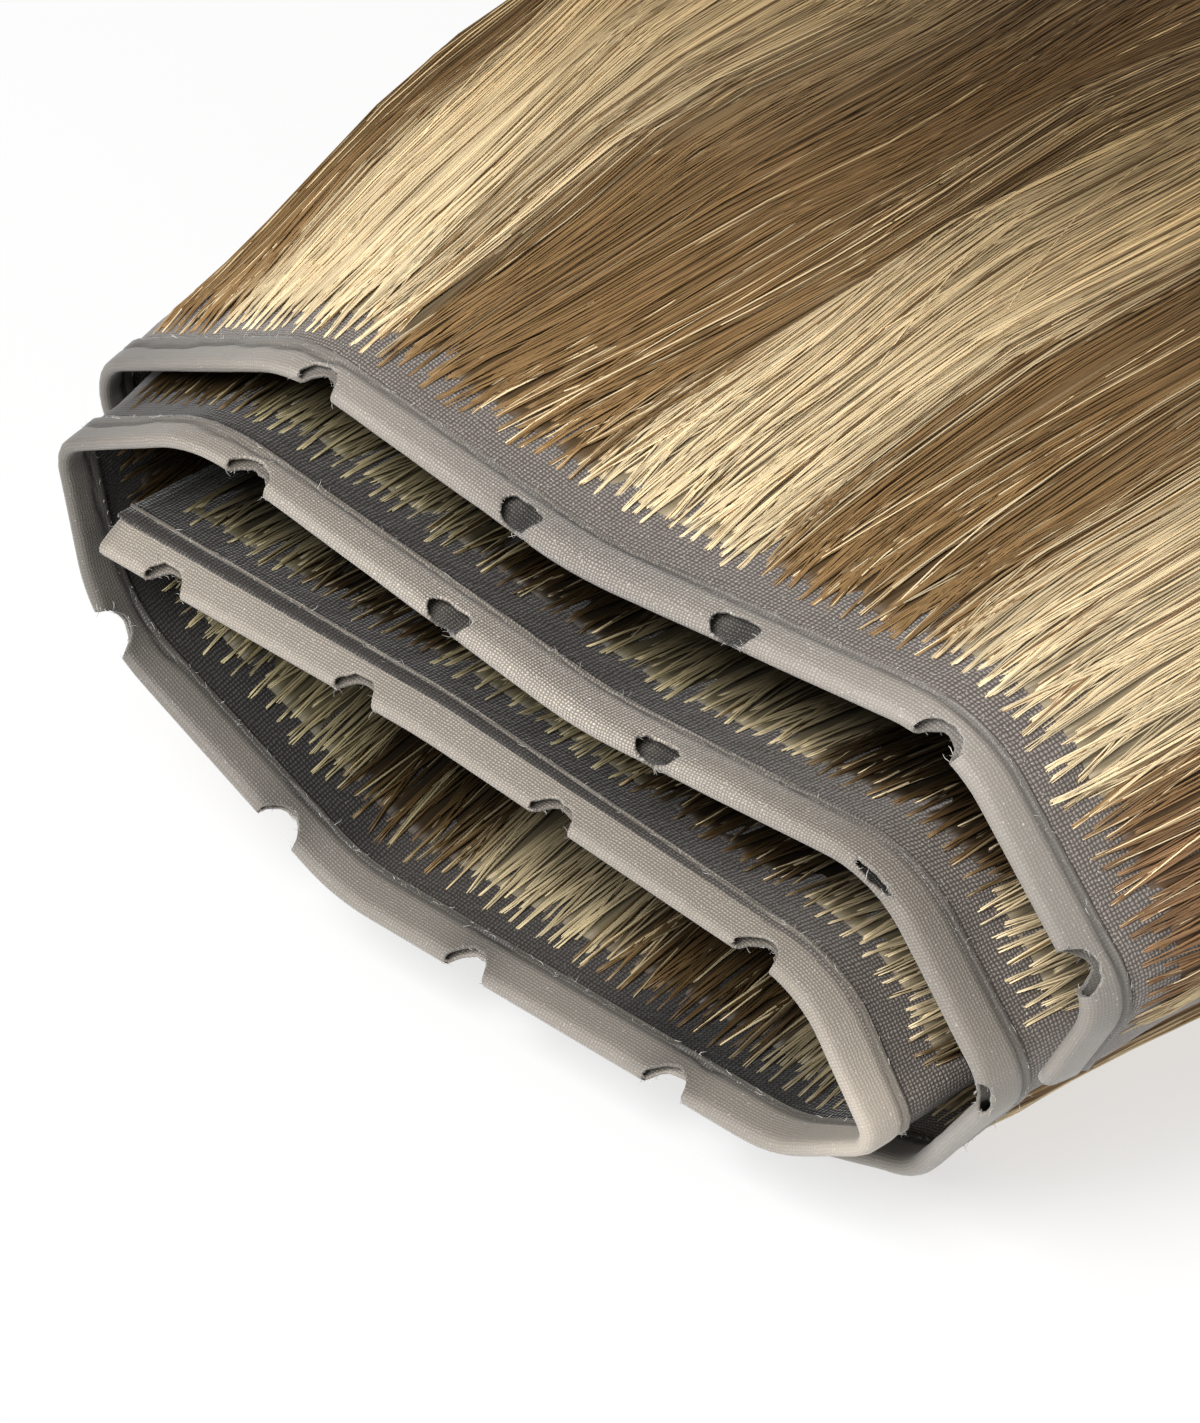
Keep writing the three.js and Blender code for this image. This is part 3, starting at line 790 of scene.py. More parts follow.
def make_frays(material):
    """Frayed threads: short bent tubes on the sewn edge of both plies and round the punched holes."""
    rng = np.random.default_rng(FRAY_SEED)
    seam_s = rng.uniform(FRAY_INSET, STRIP_LENGTH - FRAY_INSET, SEAM_FRAYS)
    ply = np.sign(rng.normal(size=SEAM_FRAYS))
    rear = hem_rear(hem_puff(seam_s), along_corners("sewn", seam_s))
    seam_v = ply * (rear - rng.uniform(0.0, FRAY_INSET, SEAM_FRAYS))
    hole = np.repeat(hole_places(), HOLE_FRAYS)
    turn = rng.uniform(0.0, 2.0 * np.pi, len(hole))
    upper, lower = hole_edges(hole, np.cos(turn))
    s = np.concatenate([seam_s, hole + HOLE_HALF_WIDTH * np.cos(turn)])
    v = np.concatenate([seam_v, np.where(np.sin(turn) > 0.0, upper, lower)])
    depth, offset = hem_section(v, hem_puff(s), along_corners("droop", s), along_corners("sewn", s))
    base = strip_point(s, depth, offset)
    heading = np.interp(s, PATH_S, PATH_HEADING)
    level = np.zeros_like(s)
    along = np.stack([np.cos(heading), level, np.sin(heading)], axis=-1)
    out = np.stack([-np.sin(heading), level, np.cos(heading)], axis=-1) * np.sign(v)[:, None]
    one_each = (len(s), 1)
    way = along * rng.normal(0.0, FRAY_ALONG, one_each) + out * rng.uniform(*FRAY_OUT, one_each)
    way[:, 1] += rng.normal(0.0, FRAY_BACK, len(s))
    way /= np.linalg.norm(way, axis=1)[:, None]
    length = FRAY_SHORTEST + FRAY_LONGER * rng.random(one_each) ** 2
    bend = rng.normal(0.0, FRAY_BEND, (len(s), 3))
    paths = np.stack([base, base + way * 0.5 * length + bend, base + way * length], axis=1)
    beside = np.cross(way, rng.normal(size=way.shape))
    beside /= np.linalg.norm(beside, axis=1)[:, None]
    radii = FRAY_RADIUS * np.array([FRAY_TAPER]) * rng.uniform(*FRAY_SIZES, one_each)
    paths[..., 2] = np.maximum(paths[..., 2], 2.0 * FRAY_RADIUS)
    points, faces = tube_mesh(paths, radii, beside, np.cross(beside, way))
    tone = np.array(srgb(*FRAY_COLOUR)) * rng.uniform(*FRAY_BRIGHT, one_each)
    colours = np.repeat(tone, paths.shape[1] * TUBE_SIDES, axis=0)
    frays = make_piece("frayed_threads", points, faces, material, None, colours)
    return frays


# Net strip.
def in_lower(s):
    """Whether a place along the strip is in the lower layer, between the inner fold and the left fold."""
    return (s > CORNER_AT["inner_fold"]) & (s < CORNER_AT["left_fold"])


def hollow_shade(s, depth):
    """Painted shade inside the roll: layers are darker at the left, and dark some way behind the roots."""
    x = np.interp(s, PATH_S, PATH_X)
    lower = in_lower(s)
    inside = (s < CORNER_AT["right_fold"]) * (1.0 - smooth((depth - HOLLOW_END) / HOLLOW_END))
    edge = np.where(lower, LOWER_LEFT, HOLLOW_LEFT)
    left = 1.0 - smooth((x - edge) / np.where(lower, LOWER_FADE, HOLLOW_FADE))
    right = lower * smooth((x - LOWER_RIGHT) / LOWER_FADE)
    near = inside * np.maximum(left, lower * LOWER_LEAST)
    behind = smooth((depth - HOLLOW_FROM) / np.where(lower, LOWER_OVER, HOLLOW_OVER))
    deep = inside * np.maximum(behind, LOWER_DEEP * right)
    return mix(mix(1.0, HOLLOW_SHADE, near[..., None]), HOLLOW_DEEP_SHADE, deep[..., None])


def make_net(material):
    """The strip as a sheet of length and depth on the roll's own surface, a little rippled behind the hem."""
    s = np.linspace(0.0, STRIP_LENGTH, int(STRIP_LENGTH / STRIP_COLUMN))
    depth = np.linspace(STRIP_FRONT, STRIP_REAR, STRIP_ROWS)
    ss, dd = np.meshgrid(s, depth, indexing="ij")
    rippled = ripple(NET_WAVES, ss, dd) * smooth((dd - HEM_DEPTH) / NET_WAVES_OVER)
    points = strip_point(ss, dd, rippled).reshape(-1, 3)
    uv = np.stack([ss, dd], axis=-1).reshape(-1, 2)
    # Painted shade inside the roll, deeper in the lower layer.
    tint = hollow_shade(ss, HOLLOW_FROM + NET_DEEPENING * (dd - HOLLOW_FROM)).mean(axis=-1)
    shade = tint**NET_CONTRAST * np.where(in_lower(ss), NET_LOWER_SHADE, 1.0)
    colours = np.stack([np.zeros_like(shade), shade, np.ones_like(shade)], axis=-1).reshape(-1, 3)
    faces = grid_faces(np.arange(ss.size).reshape(ss.shape))
    net = make_piece("net_strip", points, faces, material, uv, colours)
    thicken(net, STRIP_CLOTH, 0.0)
    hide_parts("mesh_strip")
    return net


# Hair.
def layer_span(layer):
    """Start and stop of a layer along the strip, clear of its two folds."""
    return CORNER_AT[layer.first] + FOLD_CLEARANCE, CORNER_AT[layer.last] - FOLD_CLEARANCE


def lock_place(layer, across):
    """Place within the layer's row of locks, from 0 to the number of locks."""
    even = across - LOCK_UNEVEN * np.sin(LOCK_TURNS * np.pi * across) * np.sin(np.pi * across)
    return np.clip(even, 0.0, 1.0) * layer.locks


def hair_reach(layer, across):
    """Length of the hair: locks end one behind another, each drawn out to a point."""
    place = lock_place(layer, across)
    crest = np.abs(np.sin(np.pi * place))
    stagger = TIP_STAGGER * np.cos(STAGGER_TURN * np.floor(place - TINY))
    return HAIR_LENGTH + stagger - TIP_POINT * (1.0 - crest)


def flow_at(s):
    """Sideways lean and lift of the hair rooted at s: the flow table's on the top layer, and small waves."""
    place, lean, lift = np.array(FLOWS).T
    lean = np.mean([np.interp(s + shift, place, lean, 0.0, 0.0) for shift in FLOW_SHIFTS], axis=0)
    lift = np.mean([np.interp(s + shift, place, lift, 0.0, 0.0) for shift in FLOW_SHIFTS], axis=0)
    return lean + ripple(FLOW_WAVES, s), lift


def layer_middle(layer, across, along):
    """Middle of a layer's hair: from the roll's own shape it eases into a flat layer of the lying bundle."""
    start, stop = layer_span(layer)
    s = mix(start, stop, across)
    root = strip_point(s, HAIR_START, 0.0)
    path_x = np.interp(s, PATH_S, PATH_X)
    back, ahead = np.maximum(along, 0.0), np.minimum(along, 0.0)
    leaned = level_off(back, LEAN_REACH) * (HAIR_LEAN_MIDDLE + HAIR_LEAN_PER_MM * path_x)
    fanned = root[..., 0] + leaned + (FAN_MIDDLE + FAN_PER_MM * path_x) * ahead
    tilted = along_corners("tilt", s) * (level_off(back, TILT_REACH) + ahead)
    spread = smooth(along / SPREAD_REACH)
    leftwards = strip_point(start, 0.0, 0.0)[0] > strip_point(stop, 0.0, 0.0)[0]
    tail_x = mix(layer.left, layer.right, 1.0 - across if leftwards else across)
    gathered = TAIL_NARROWING * smooth((along - SPREAD_REACH) / (HAIR_LENGTH - SPREAD_REACH))
    turns = along / SWAY_LENGTH + SWAY_TURNS * across + layer.level
    sway = SWAY * np.sin(2.0 * np.pi * turns) * spread * np.sin(np.pi * across)
    lean, lift = flow_at(s)
    drift = lean * level_off(back, FLOW_REACH) * (1.0 - smooth((along - FLOW_END) / FLOW_FADE))
    turns = along / LOCK_WAVE_BACK + s / LOCK_WAVE_ALONG
    drift = drift + LOCK_WAVE * np.sin(2.0 * np.pi * turns) * smooth(along / LOCK_WAVE_FROM)
    puffed = lift * smooth(along / LIFT_RISE) * (1.0 - smooth((along - LIFT_END) / LIFT_FADE))
    turns = s / LOCK_SWELL_ALONG - along / LOCK_SWELL_BACK
    puffed = puffed + LOCK_SWELL * np.sin(2.0 * np.pi * turns) * smooth(along / LOCK_SWELL_FROM)
    x = mix(fanned, tail_x * (1.0 - gathered), spread) + sway + drift
    z = mix(root[..., 2] + tilted, layer.level, smooth(along / SETTLE_REACH)) + puffed
    return np.stack([x, root[..., 1] + along, z], axis=-1)


def layer_half(layer, across, along):
    """Half the layer's thickness: thin at roots and side edges, ridged into locks, thin again at the tips."""
    settle = smooth(along / SETTLE_REACH)
    body = mix(ROOT_THICKNESS, BODY_THICKNESS, settle**BODY_POWER)
    crest = np.abs(np.sin(np.pi * lock_place(layer, across)))
    ridge = mix(1.0, mix(GROOVE_LEFT, 1.0, crest), smooth(along / GROOVE_REACH))
    edge = mix(EDGE_LEFT, 1.0, smooth(np.minimum(across, 1.0 - across) / EDGE_SHARE))
    share = along / hair_reach(layer, across)
    tip = smooth((share - TIP_START) / (1.0 - TIP_START))
    return mix(body * ridge * edge, TIP_THICKNESS, tip) / 2.0


def layer_normal(layer, across, along):
    """Outer normal of the layer in the x-z plane, from its middle a little to both sides."""
    before = layer_middle(layer, across - NORMAL_STEP, along)
    after = layer_middle(layer, across + NORMAL_STEP, along)
    run = after - before
    size = np.maximum(np.hypot(run[..., 0], run[..., 2]), LEAST_RUN)
    return np.stack([-run[..., 2] / size, np.zeros_like(size), run[..., 0] / size], axis=-1)


BLOND = np.array(srgb(240, 218, 176))
BROWN = np.array(srgb(146, 115, 75))
AUBURN = np.array(srgb(146, 112, 78))


def stripe_share(s):
    """Share of brown at a place along the strip: 0 in blond stripes, 1 in brown ones, with blurred edges."""
    ends = np.array(STRIPE_ENDS)
    turns = 0.5 + 0.5 * np.tanh((s[..., None] - ends) / (STRIPE_SLOPE * STRIPE_BLUR))
    signs = np.where(np.arange(len(ends)) % 2 == 0, 1.0, -1.0)
    return np.clip((turns * signs).sum(axis=-1), 0.0, 1.0)


def hair_tone(s, brown):
    """Hair colour at a place along the strip for a share of brown, redder near the strip's outer end."""
    red = smooth((s - AUBURN_FROM) / AUBURN_OVER)[..., None]
    return mix(BLOND, mix(BROWN, AUBURN, red), brown[..., None])


def far_shade(along, brown):
    """Painted shade on the hair behind its roots, deeper in tone there; it clears again towards the tips."""
    far = smooth(along / FAR_REACH) * (1.0 - TAIL_CLEARS * smooth((along - TAIL_FROM) / TAIL_REACH))
    return mix(1.0, mix(FAR_BLOND_SHADE, FAR_BROWN_SHADE, brown[..., None]), far[..., None])


def lock_tone(s, along):
    """Hair colour along a lock: further back, both colours slide over each other and differ in shade."""
    late = smooth((along - LATE_FROM) / LATE_OVER)
    mixed = MIXED_SHARE * smooth(along / MIXED_OVER) * bell((s - MIXED_AT) / MIXED_WIDTH)
    brown = np.clip(stripe_share(s) + late * ripple(SLIDE_WAVES, s, along) + mixed, 0.0, 1.0)
    # Shade between locks: partly the hair's own tone, partly painted shade.
    tone = hair_tone(s, brown) * (1.0 + late * ripple(SHADE_WAVES, s, along))[..., None]
    # Painted shade behind the roots and inside the roll.
    return tone * far_shade(along, brown) * hollow_shade(s, along + HAIR_START + BROWN_DEEPER * brown)


def make_mass(layer, material):
    """The inner body of a layer's hair: a closed sheet a little thinner than the layer, ridged into locks."""
    columns = layer.locks * MASS_COLUMNS + 1
    across = np.linspace(0.0, 1.0, columns)
    share = np.linspace(0.0, 1.0, MASS_STATIONS) ** MASS_CROWDING
    aa, tt = np.meshgrid(across, share, indexing="ij")
    along = MASS_START + tt * (hair_reach(layer, aa) * MASS_LENGTH - MASS_START)
    middle = layer_middle(layer, aa, along)
    half = layer_half(layer, aa, np.maximum(along, 0.0))
    middle[..., 2] = np.maximum(middle[..., 2], half)
    swell = smooth((along - MASS_START) / MASS_SWELL_OVER)
    half = mix(0.5 * STRIP_CLOTH + MASS_SKIN, MASS_SHARE * half, swell)
    out = layer_normal(layer, aa, along) * half[..., None]
    points = np.concatenate([(middle + out).reshape(-1, 3), (middle - out).reshape(-1, 3)])
    index = np.arange(aa.size).reshape(aa.shape)
    top = grid_faces(index)
    bottom = top[:, ::-1] + aa.size
    rim = np.concatenate([index[:-1, 0], index[-1, :-1], index[:0:-1, -1], index[0, :0:-1]])
    after = np.roll(rim, -1)
    wall = np.stack([rim, rim + aa.size, after + aa.size, after], axis=-1)
    faces = np.concatenate([top, bottom, wall])
    s, along = mix(*layer_span(layer), aa).reshape(-1), along.reshape(-1)
    # Painted shade: the body is darker than the strands on it, darkest near the roots.
    shade = mix(MASS_ROOT_SHADE, MASS_SHADE, smooth((along - MASS_START) / MASS_SHADE_OVER))
    tone = np.tile(lock_tone(s, along) * shade[:, None], (2, 1))
    uv = np.tile(np.stack([s, along], axis=-1), (2, 1))
    mass = make_piece("hair_mass_" + layer.name, points, faces, material, uv, tone)
    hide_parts("hair_" + layer.name)
    return mass


# Strands: place of the root along the strip and behind the fold, face, lean, height within the layer, place
# in the tuft and when free, own brightness, and length.
Strands = namedtuple("Strands", "s depth face lean height tuft free bright length")


def tuft_strands(layer, face, count, rng):
    """Strands that leave one face of the net in tight pointed tufts, in staggered rows."""
    start, stop = layer_span(layer)
    rows = len(TUFT_ROWS) if count > THIN_TUFT else 1
    tufts = int((stop - start) / TUFT_PITCH)
    row = np.repeat(np.arange(rows), tufts)
    number = np.tile(np.arange(tufts), rows) + TUFT_FIRST + TUFT_STAGGER * (row % 2)
    place = start + number * (stop - start) / tufts
    place = np.clip(place + rng.normal(0.0, TUFT_PLACE_JITTER, len(row)), start, stop)
    lean = rng.normal(0.0, math.radians(TUFT_LEAN_DEG), len(row))
    depth = along_corners("root", place) + np.array(TUFT_ROWS)[row]
    depth = depth + rng.normal(0.0, TUFT_ROW_JITTER, len(row))
    bright = rng.normal(1.0, TUFT_BRIGHT, len(row))
    size = len(row) * count
    s = np.repeat(place, count) + rng.normal(0.0, STRAND_PLACE, size)
    depth = np.repeat(depth, count) + np.abs(rng.normal(0.0, STRAND_DEPTH, size))
    across = np.clip((s - start) / (stop - start), 0.0, 1.0)
    whole = hair_reach(layer, across) + HAIR_START - depth - STRAND_CUT * rng.random(size) ** 2
    return Strands(
        s, depth, np.full(size, face),
        np.repeat(lean, count) + rng.normal(0.0, math.radians(STRAND_LEAN_DEG), size),
        face * (STRAND_LOW + STRAND_HIGHER * rng.random(size)),
        rng.normal(0.0, TUFT_WIDTH, size), rng.normal(0.0, FREE_WIDTH, size),
        np.repeat(bright, count) * rng.uniform(*STRAND_BRIGHT, size),
        np.where(rng.random(size) < LONG_SHARE, whole, whole * rng.uniform(*SHORT_SHARES, size)),
    )


def back_strands(layer, rng):
    """Strands that come up out of the mass further back and go down into it again; a few stray off it."""
    start, stop = layer_span(layer)
    count = layer.back
    s = rng.uniform(start, stop, count)
    back = rng.uniform(*BACK_NEAR, count) + BACK_FAR * rng.random(count) ** 2
    left = hair_reach(layer, (s - start) / (stop - start)) - back
    outer_share = BACK_OUTER_MOST if layer.outer_count > layer.inner_count else BACK_OUTER_HALF
    face = np.where(rng.random(count) < outer_share, 1.0, -1.0)
    stray = rng.random(count) < STRAY_SHARE
    lean = rng.normal(0.0, np.where(stray, STRAY_LEAN, BACK_LEAN))
    stray_height = rng.uniform(*STRAY_HEIGHTS, count)
    height = face * np.where(stray, stray_height, BACK_LOW + BACK_HIGHER * rng.random(count))
    return Strands(
        s, HAIR_START + back, face, lean, height,
        np.zeros(count), rng.normal(0.0, BACK_WIDTH, count), rng.uniform(*BACK_BRIGHT, count),
        np.minimum(left, rng.uniform(*BACK_LENGTHS, count)),
    )


def strand_stations(length, rooted):
    """Distances from the root where a strand has a ring: close together at the root, then spread evenly."""
    near = ROOT_STATIONS if rooted else BACK_STATIONS
    far = near[-1] + (length[:, None] - near[-1]) * TAIL_STATIONS
    return np.concatenate([np.broadcast_to(near, (len(length), len(near))), far], axis=1)


def strand_paths(layer, strands, gone, rooted, rng):
    """Points of the strands: each leaves its root, spreads from its tuft and keeps its place in the layer."""
    start, stop = layer_span(layer)
    count = len(strands.s)
    drift = np.tan(strands.lean)[:, None] * level_off(gone, STRAND_LEAN_REACH)
    if rooted:
        ahead = np.minimum(gone, (HAIR_START - strands.depth)[:, None])
        drift = drift + flow_at(strands.s)[0][:, None] * ahead
    loose = (strands.free + ripple(CLUMP_WAVES, strands.s))[:, None]
    drift = drift + mix(strands.tuft[:, None], loose, np.clip((gone - FREE_FROM) / FREE_OVER, 0.0, 1.0))
    phase = rng.uniform(0.0, 2.0 * np.pi, (2, count, 1))
    wander = rng.normal(0.0, WANDER, (2, count, 1)) * smooth(gone / WANDER_OVER)
    for size, length, begin in zip(wander, WANDER_LENGTHS, phase):
        drift = drift + size * np.sin(gone / length + begin)
    across = np.clip((strands.s[:, None] - start + drift) / (stop - start), 0.0, 1.0)
    along = gone + strands.depth[:, None] - HAIR_START
    share = gone / strands.length[:, None]
    sunk = 1.0 - SINK * smooth((share - SINK_FROM) / SINK_OVER)
    height = strands.height[:, None] * layer_half(layer, across, np.maximum(along, 0.0)) * sunk
    if rooted:
        off_net = 0.5 * STRIP_CLOTH + ROOT_GAP + ROOT_RISE * smooth(gone / ROOT_RISE_OVER)
        offset = mix(strands.face[:, None] * off_net, height, smooth((gone - JOIN_FROM) / JOIN_OVER))
    else:
        offset = mix(BACK_START * height, height, smooth(gone / BACK_RISE_OVER))
    offset = offset + rng.normal(0.0, UNEVEN, (count, 1)) * smooth(gone / UNEVEN_OVER)
    return layer_middle(layer, across, along) + layer_normal(layer, across, along) * offset[..., None]


def strand_tones(strands, gone, rng):
    """Colour along each strand: its lock's, with a few strays of the other colour, and its own brightness."""
    s = strands.s + rng.normal(0.0, STRIPE_BLUR, strands.s.shape)
    stray = rng.random(strands.s.shape) < mix(STRAYS_IN_BLOND, STRAYS_IN_BROWN, stripe_share(strands.s))
    s = np.where(stray, s + STRAY_SLIP, s)
    along = gone + strands.depth[:, None] - HAIR_START
    return lock_tone(np.broadcast_to(s[:, None], gone.shape), along) * strands.bright[:, None, None]


def make_strands(name, layer, strands, rooted, thick, rng, material):
    """Strands as thin tubes that taper towards both ends, thicker near the root where few stand for many."""
    gone = strand_stations(strands.length, rooted)
    paths = strand_paths(layer, strands, gone, rooted, rng)
    share = gone / strands.length[:, None]
    radius = STRAND_RADIUS * rng.uniform(*RADIUS_SIZES, (len(strands.s), 1))
    radii = radius * mix(thick, 1.0, smooth(gone / THICK_OVER))
    radii = radii * mix(ROOT_POINT, 1.0, smooth(gone / ROOT_POINT_OVER))
    radii = radii * (1.0 - TIP_TAPER * smooth((share - TIP_TAPER_FROM) / TIP_TAPER_OVER))
    paths[..., 2] = np.maximum(paths[..., 2], radii + FLOOR_GAP)
    points, faces = tube_mesh(paths, radii)
    tone = strand_tones(strands, gone, rng).reshape(-1, 3)
    piece = make_piece(name, points, faces, material, None, np.repeat(tone, TUBE_SIDES, axis=0))
    return piece


# Materials.
def new_material(name):
    """An empty node material, its shader and its links."""
    material = bpy.data.materials.new(name)
    material.use_nodes = True
    nodes = material.node_tree.nodes
    return material, nodes, material.node_tree.links, nodes["Principled BSDF"]


def math_node(nodes, links, operation, *inputs):
    """A Math node fed by numbers or sockets; returns its output."""
    node = nodes.new("ShaderNodeMath")
    node.operation = operation
    for socket, value in zip(node.inputs, inputs):
        if isinstance(value, (int, float)):
            socket.default_value = value
        else:
            links.new(value, socket)
    return node.outputs[0]


def colour_mix(nodes, links, factor, a, b):
    """A colour Mix node fed by colours or sockets; returns its output."""
    node = nodes.new("ShaderNodeMix")
    node.data_type = "RGBA"
    for socket, value in ((node.inputs[0], factor), (node.inputs[6], a), (node.inputs[7], b)):
        if isinstance(value, (int, float)):
            socket.default_value = value
        elif isinstance(value, tuple):
            socket.default_value = (*value, 1.0)
        else:
            links.new(value, socket)
    return node.outputs[2]


def colour_scale(nodes, links, colour, factor):
    """A colour socket times a value socket; returns the output."""
    scale = nodes.new("ShaderNodeVectorMath")
    scale.operation = "SCALE"
    links.new(colour, scale.inputs[0])
    links.new(factor, scale.inputs["Scale"])
    return scale.outputs[0]


def noise_node(nodes, links, place, scale, detail=NOISE_DETAIL):
    """A noise texture read at a place socket; returns its node."""
    noise = nodes.new("ShaderNodeTexNoise")
    noise.inputs["Scale"].default_value = scale
    noise.inputs["Detail"].default_value = detail
    links.new(place, noise.inputs["Vector"])
    return noise


def tint_colour(nodes):
    """The piece's own tint; returns its colour socket."""
    tint = nodes.new("ShaderNodeAttribute")
    tint.attribute_name = "tint"
    return tint.outputs["Color"]


def add_bump(nodes, links, shader, height, strength, distance):
    """Relief on a shader from a height socket, at a distance in mm."""
    relief = nodes.new("ShaderNodeBump")
    relief.inputs["Strength"].default_value = strength
    relief.inputs["Distance"].default_value = distance * MM
    links.new(height, relief.inputs["Height"])
    links.new(relief.outputs[0], shader.inputs["Normal"])


def new_group(name, inputs, outputs):
    """An empty shader group with named sockets, and its source and sink."""
    group = bpy.data.node_groups.new(name, "ShaderNodeTree")
    for socket, kind in inputs:
        group.interface.new_socket(socket, in_out="INPUT", socket_type=kind)
    for socket in outputs:
        group.interface.new_socket(socket, in_out="OUTPUT", socket_type="NodeSocketFloat")
    return group, group.nodes.new("NodeGroupInput"), group.nodes.new("NodeGroupOutput")


def weave_group():
    """Shared weave: a raised dot where threads cross, repeated at the pitch, uneven tone and specks, partly
    painted glints.
    """
    sockets = (("Cloth", "NodeSocketVector"), ("Pitch", "NodeSocketFloat"))
    group, source, sink = new_group("woven_cloth", sockets, ("Threads", "Uneven", "SpecksGlints"))
    nodes, links = group.nodes, group.links
    cloth = source.outputs["Cloth"]
    pull = nodes.new("ShaderNodeVectorMath")
    pull.operation = "MULTIPLY_ADD"
    pull.inputs[1].default_value = (WEAVE_PULL, WEAVE_PULL, WEAVE_PULL)
    links.new(noise_node(nodes, links, cloth, WEAVE_PULL_SCALE).outputs["Color"], pull.inputs[0])
    links.new(cloth, pull.inputs[2])
    split = nodes.new("ShaderNodeSeparateXYZ")
    links.new(pull.outputs[0], split.inputs[0])
    turns = math_node(nodes, links, "DIVIDE", math.pi, source.outputs["Pitch"])
    waves = []
    for axis in (0, 1):
        angle = math_node(nodes, links, "MULTIPLY", split.outputs[axis], turns)
        wave = math_node(nodes, links, "COSINE", angle)
        waves.append(math_node(nodes, links, "ABSOLUTE", wave))
    dots = math_node(nodes, links, "MULTIPLY", *waves)
    links.new(math_node(nodes, links, "POWER", dots, WEAVE_POWER), sink.inputs["Threads"])
    for output, scale, detail in CLOTH_NOISES:
        links.new(noise_node(nodes, links, cloth, scale, detail).outputs[0], sink.inputs[output])
    return group


def cloth_material(finish, weave):
    """Woven cloth: thread and groove colours by the weave, pale specks, and a weave bump.

    The tint's first channel warms the thread, its second sets the cloth's brightness, mostly as painted shade
    and light, and its third clears the weave.
    """
    material, nodes, links, shader = new_material(finish.name)
    uv = nodes.new("ShaderNodeUVMap")
    uv.uv_map = "cloth_mm"
    cloth = nodes.new("ShaderNodeGroup")
    cloth.node_tree = weave
    cloth.inputs["Pitch"].default_value = finish.pitch
    links.new(uv.outputs[0], cloth.inputs["Cloth"])
    parts = nodes.new("ShaderNodeSeparateColor")
    links.new(tint_colour(nodes), parts.inputs[0])
    warmth, shade, clear = parts.outputs
    thread = colour_mix(nodes, links, warmth, srgb(*finish.thread), srgb(*finish.warm))
    groove = colour_mix(nodes, links, clear, thread, srgb(*finish.groove))
    woven = colour_mix(nodes, links, cloth.outputs["Threads"], groove, thread)
    patchy = math_node(nodes, links, "MULTIPLY_ADD", cloth.outputs["Uneven"], PATCH_GAIN, PATCH_SHIFT)
    shaded = colour_mix(nodes, links, patchy, woven, groove)
    # Pale specks, partly painted glints of the silky threads.
    speck_glint = math_node(nodes, links, "MULTIPLY_ADD", cloth.outputs["SpecksGlints"], SPECK_GLINT_GAIN, SPECK_GLINT_SHIFT)
    speck_glint = math_node(nodes, links, "MINIMUM", math_node(nodes, links, "MAXIMUM", speck_glint, 0.0), SPECK_GLINT_MOST)
    colour = colour_mix(nodes, links, speck_glint, shaded, srgb(*SPECK_GLINT_COLOUR))
    links.new(colour_scale(nodes, links, colour, shade), shader.inputs["Base Color"])
    least_rough = finish.roughness - 0.5 * ROUGH_GAIN
    rough = math_node(nodes, links, "MULTIPLY_ADD", cloth.outputs["Uneven"], ROUGH_GAIN, least_rough)
    links.new(rough, shader.inputs["Roughness"])
    height = math_node(nodes, links, "MULTIPLY", cloth.outputs["Threads"], clear)
    add_bump(nodes, links, shader, height, finish.bump, WEAVE_HEIGHT)
    shader.inputs["Sheen Weight"].default_value = SHEEN_WEIGHT
    shader.inputs["Sheen Roughness"].default_value = SHEEN_ROUGHNESS
    return material


def streak_group():
    """Shared hair streaks: fine and broad noise drawn out along the hair, as a value round one half."""
    group, source, sink = new_group("hair_streaks", (("Place", "NodeSocketVector"),), ("Streaks",))
    nodes, links = group.nodes, group.links
    total = 0.5
    for scale, strength in STREAKS:
        noise = noise_node(nodes, links, source.outputs["Place"], scale)
        part = math_node(nodes, links, "MULTIPLY_ADD", noise.outputs[0], strength, -0.5 * strength)
        total = math_node(nodes, links, "ADD", part, total)
    links.new(total, sink.inputs["Streaks"])
    return group


def hair_material(finish, streaks):
    """Hair: its own tint, streaked along its length, with a satin gloss."""
    material, nodes, links, shader = new_material(finish.name)
    place = nodes.new("ShaderNodeTexCoord")
    mapping = nodes.new("ShaderNodeMapping")
    mapping.inputs["Scale"].default_value = finish.stretch
    streak = nodes.new("ShaderNodeGroup")
    streak.node_tree = streaks
    links.new(place.outputs[finish.coordinate], mapping.inputs["Vector"])
    links.new(mapping.outputs[0], streak.inputs["Place"])
    least = 1.0 - 0.5 * finish.contrast
    bright = math_node(nodes, links, "MULTIPLY_ADD", streak.outputs[0], finish.contrast, least)
    links.new(colour_scale(nodes, links, tint_colour(nodes), bright), shader.inputs["Base Color"])
    shader.inputs["Roughness"].default_value = finish.roughness
    shader.inputs["Specular IOR Level"].default_value = HAIR_SPECULAR
    if finish.bump:
        add_bump(nodes, links, shader, streak.outputs[0], finish.bump, HAIR_BUMP_HEIGHT)
    return material


def floor_material():
    """Plain pale floor with a faint unevenness."""
    material, nodes, links, shader = new_material("pale_floor")
    noise = nodes.new("ShaderNodeTexNoise")
    noise.inputs["Scale"].default_value = FLOOR_NOISE
    low, high = ((tone, tone, tone) for tone in FLOOR_TONES)
    links.new(colour_mix(nodes, links, noise.outputs[0], low, high), shader.inputs["Base Color"])
    shader.inputs["Roughness"].default_value = FLOOR_ROUGHNESS
    shader.inputs["Emission Color"].default_value = WHITE
    shader.inputs["Emission Strength"].default_value = FLOOR_GLOW
    return material


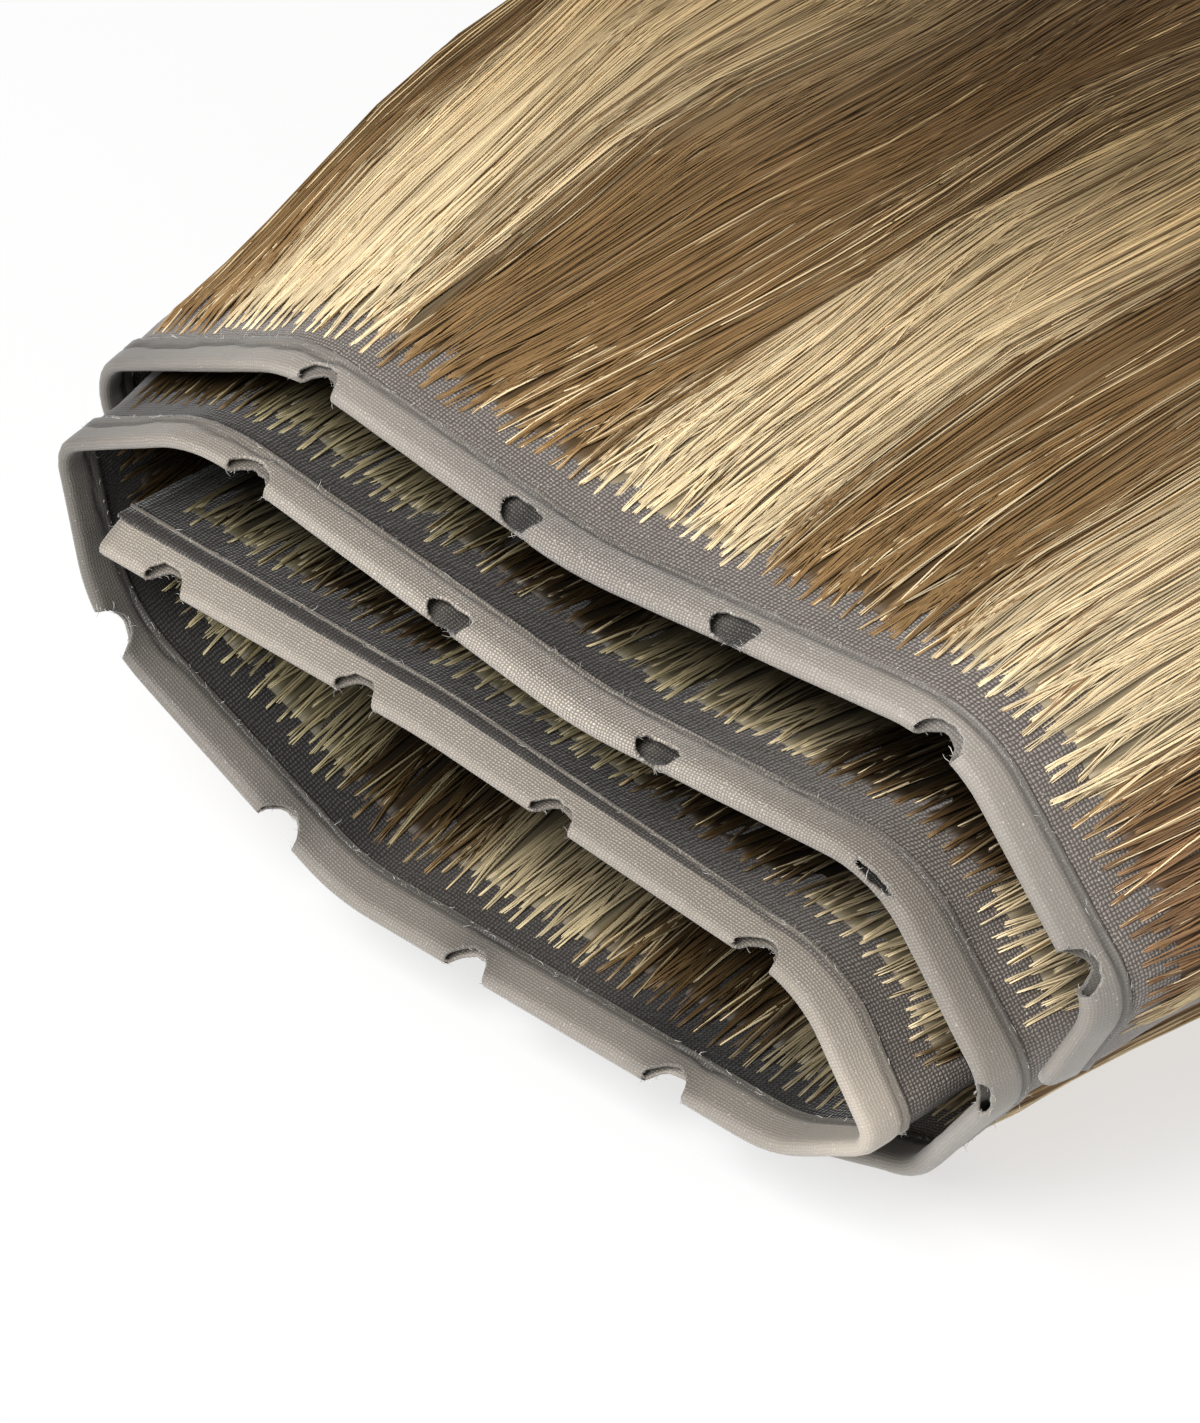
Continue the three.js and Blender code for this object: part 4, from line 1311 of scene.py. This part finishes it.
# Stage.
def view_axes():
    """Right, forward and up of the photo's camera."""
    right = Vector((math.cos(VIEW_AZIMUTH), math.sin(VIEW_AZIMUTH), 0.0))
    inwards = Vector((-math.sin(VIEW_AZIMUTH), math.cos(VIEW_AZIMUTH), 0.0))
    forward = inwards * math.cos(VIEW_ELEVATION) - Vector((0.0, 0.0, math.sin(VIEW_ELEVATION)))
    return right, forward, right.cross(forward)


def make_camera():
    """Camera at the photo's angle, its axis through the point seen in the middle of the photo."""
    right, forward, up = view_axes()
    target = Vector(to_frame(np.array(VIEW_TARGET)))
    data = bpy.data.cameras.new("photo_camera")
    data.sensor_width = SENSOR
    data.lens = SENSOR * FOCAL_PX / PHOTO_SIZE[1]
    data.clip_start, data.clip_end = CLIP
    camera = bpy.data.objects.new("photo_camera", data)
    bpy.context.scene.collection.objects.link(camera)
    axes = Matrix((right, up, -forward)).transposed().to_4x4()
    camera.matrix_world = Matrix.Translation(target - forward * VIEW_DISTANCE * MM) @ axes
    bpy.context.scene.camera = camera


def make_light(lamp, target):
    """A square soft light at the lamp's place in the frame, turned to the target."""
    data = bpy.data.lights.new(lamp.name, "AREA")
    data.shape = "SQUARE"
    data.size = lamp.size
    data.energy = lamp.power
    light = bpy.data.objects.new(lamp.name, data)
    bpy.context.scene.collection.objects.link(light)
    light.location = lamp.place
    light.rotation_euler = (target - Vector(lamp.place)).to_track_quat("-Z", "Y").to_euler()


def make_stage():
    """Floor, even surrounding light, a soft lamp above the front and a weak low one."""
    corners = np.array([[-1, -1, 0], [1, -1, 0], [1, 1, 0], [-1, 1, 0]]) * FLOOR_HALF / MM
    floor = make_piece("floor", corners - ORIGIN, np.array([[0, 1, 2, 3]]), floor_material())
    world = bpy.data.worlds.new("studio")
    world.use_nodes = True
    world.node_tree.nodes["Background"].inputs["Color"].default_value = WHITE
    world.node_tree.nodes["Background"].inputs["Strength"].default_value = WORLD_STRENGTH
    bpy.context.scene.world = world
    target = Vector(to_frame(np.array(VIEW_TARGET)))
    for lamp in LAMPS:
        make_light(lamp, target)
    bpy.context.scene.view_settings.view_transform = "Standard"


make_camera()
make_stage()

weave = weave_group()
streaks = streak_group()
strand_hair = hair_material(STRAND_FINISH, streaks)
mass_hair = hair_material(MASS_FINISH, streaks)

hem = make_hem(cloth_material(HEM_FINISH, weave))
net = make_net(cloth_material(NET_FINISH, weave))
on_net = [hem, make_frays(hair_material(FRAY_FINISH, streaks))]
for number, layer in enumerate(LAYERS):
    rng = np.random.default_rng(HAIR_SEED + number)
    on_net.append(make_mass(layer, mass_hair))
    for face, side, count in ((1.0, "outer", layer.outer_count), (-1.0, "inner", layer.inner_count)):
        name = "hair_tufts_" + layer.name + "_" + side
        strands = tuft_strands(layer, face, count, rng)
        thick = math.sqrt(FULL_TUFT / count)
        on_net.append(make_strands(name, layer, strands, True, thick, rng, strand_hair))
    name = "hair_back_" + layer.name
    on_net.append(make_strands(name, layer, back_strands(layer, rng), False, 1.0, rng, strand_hair))
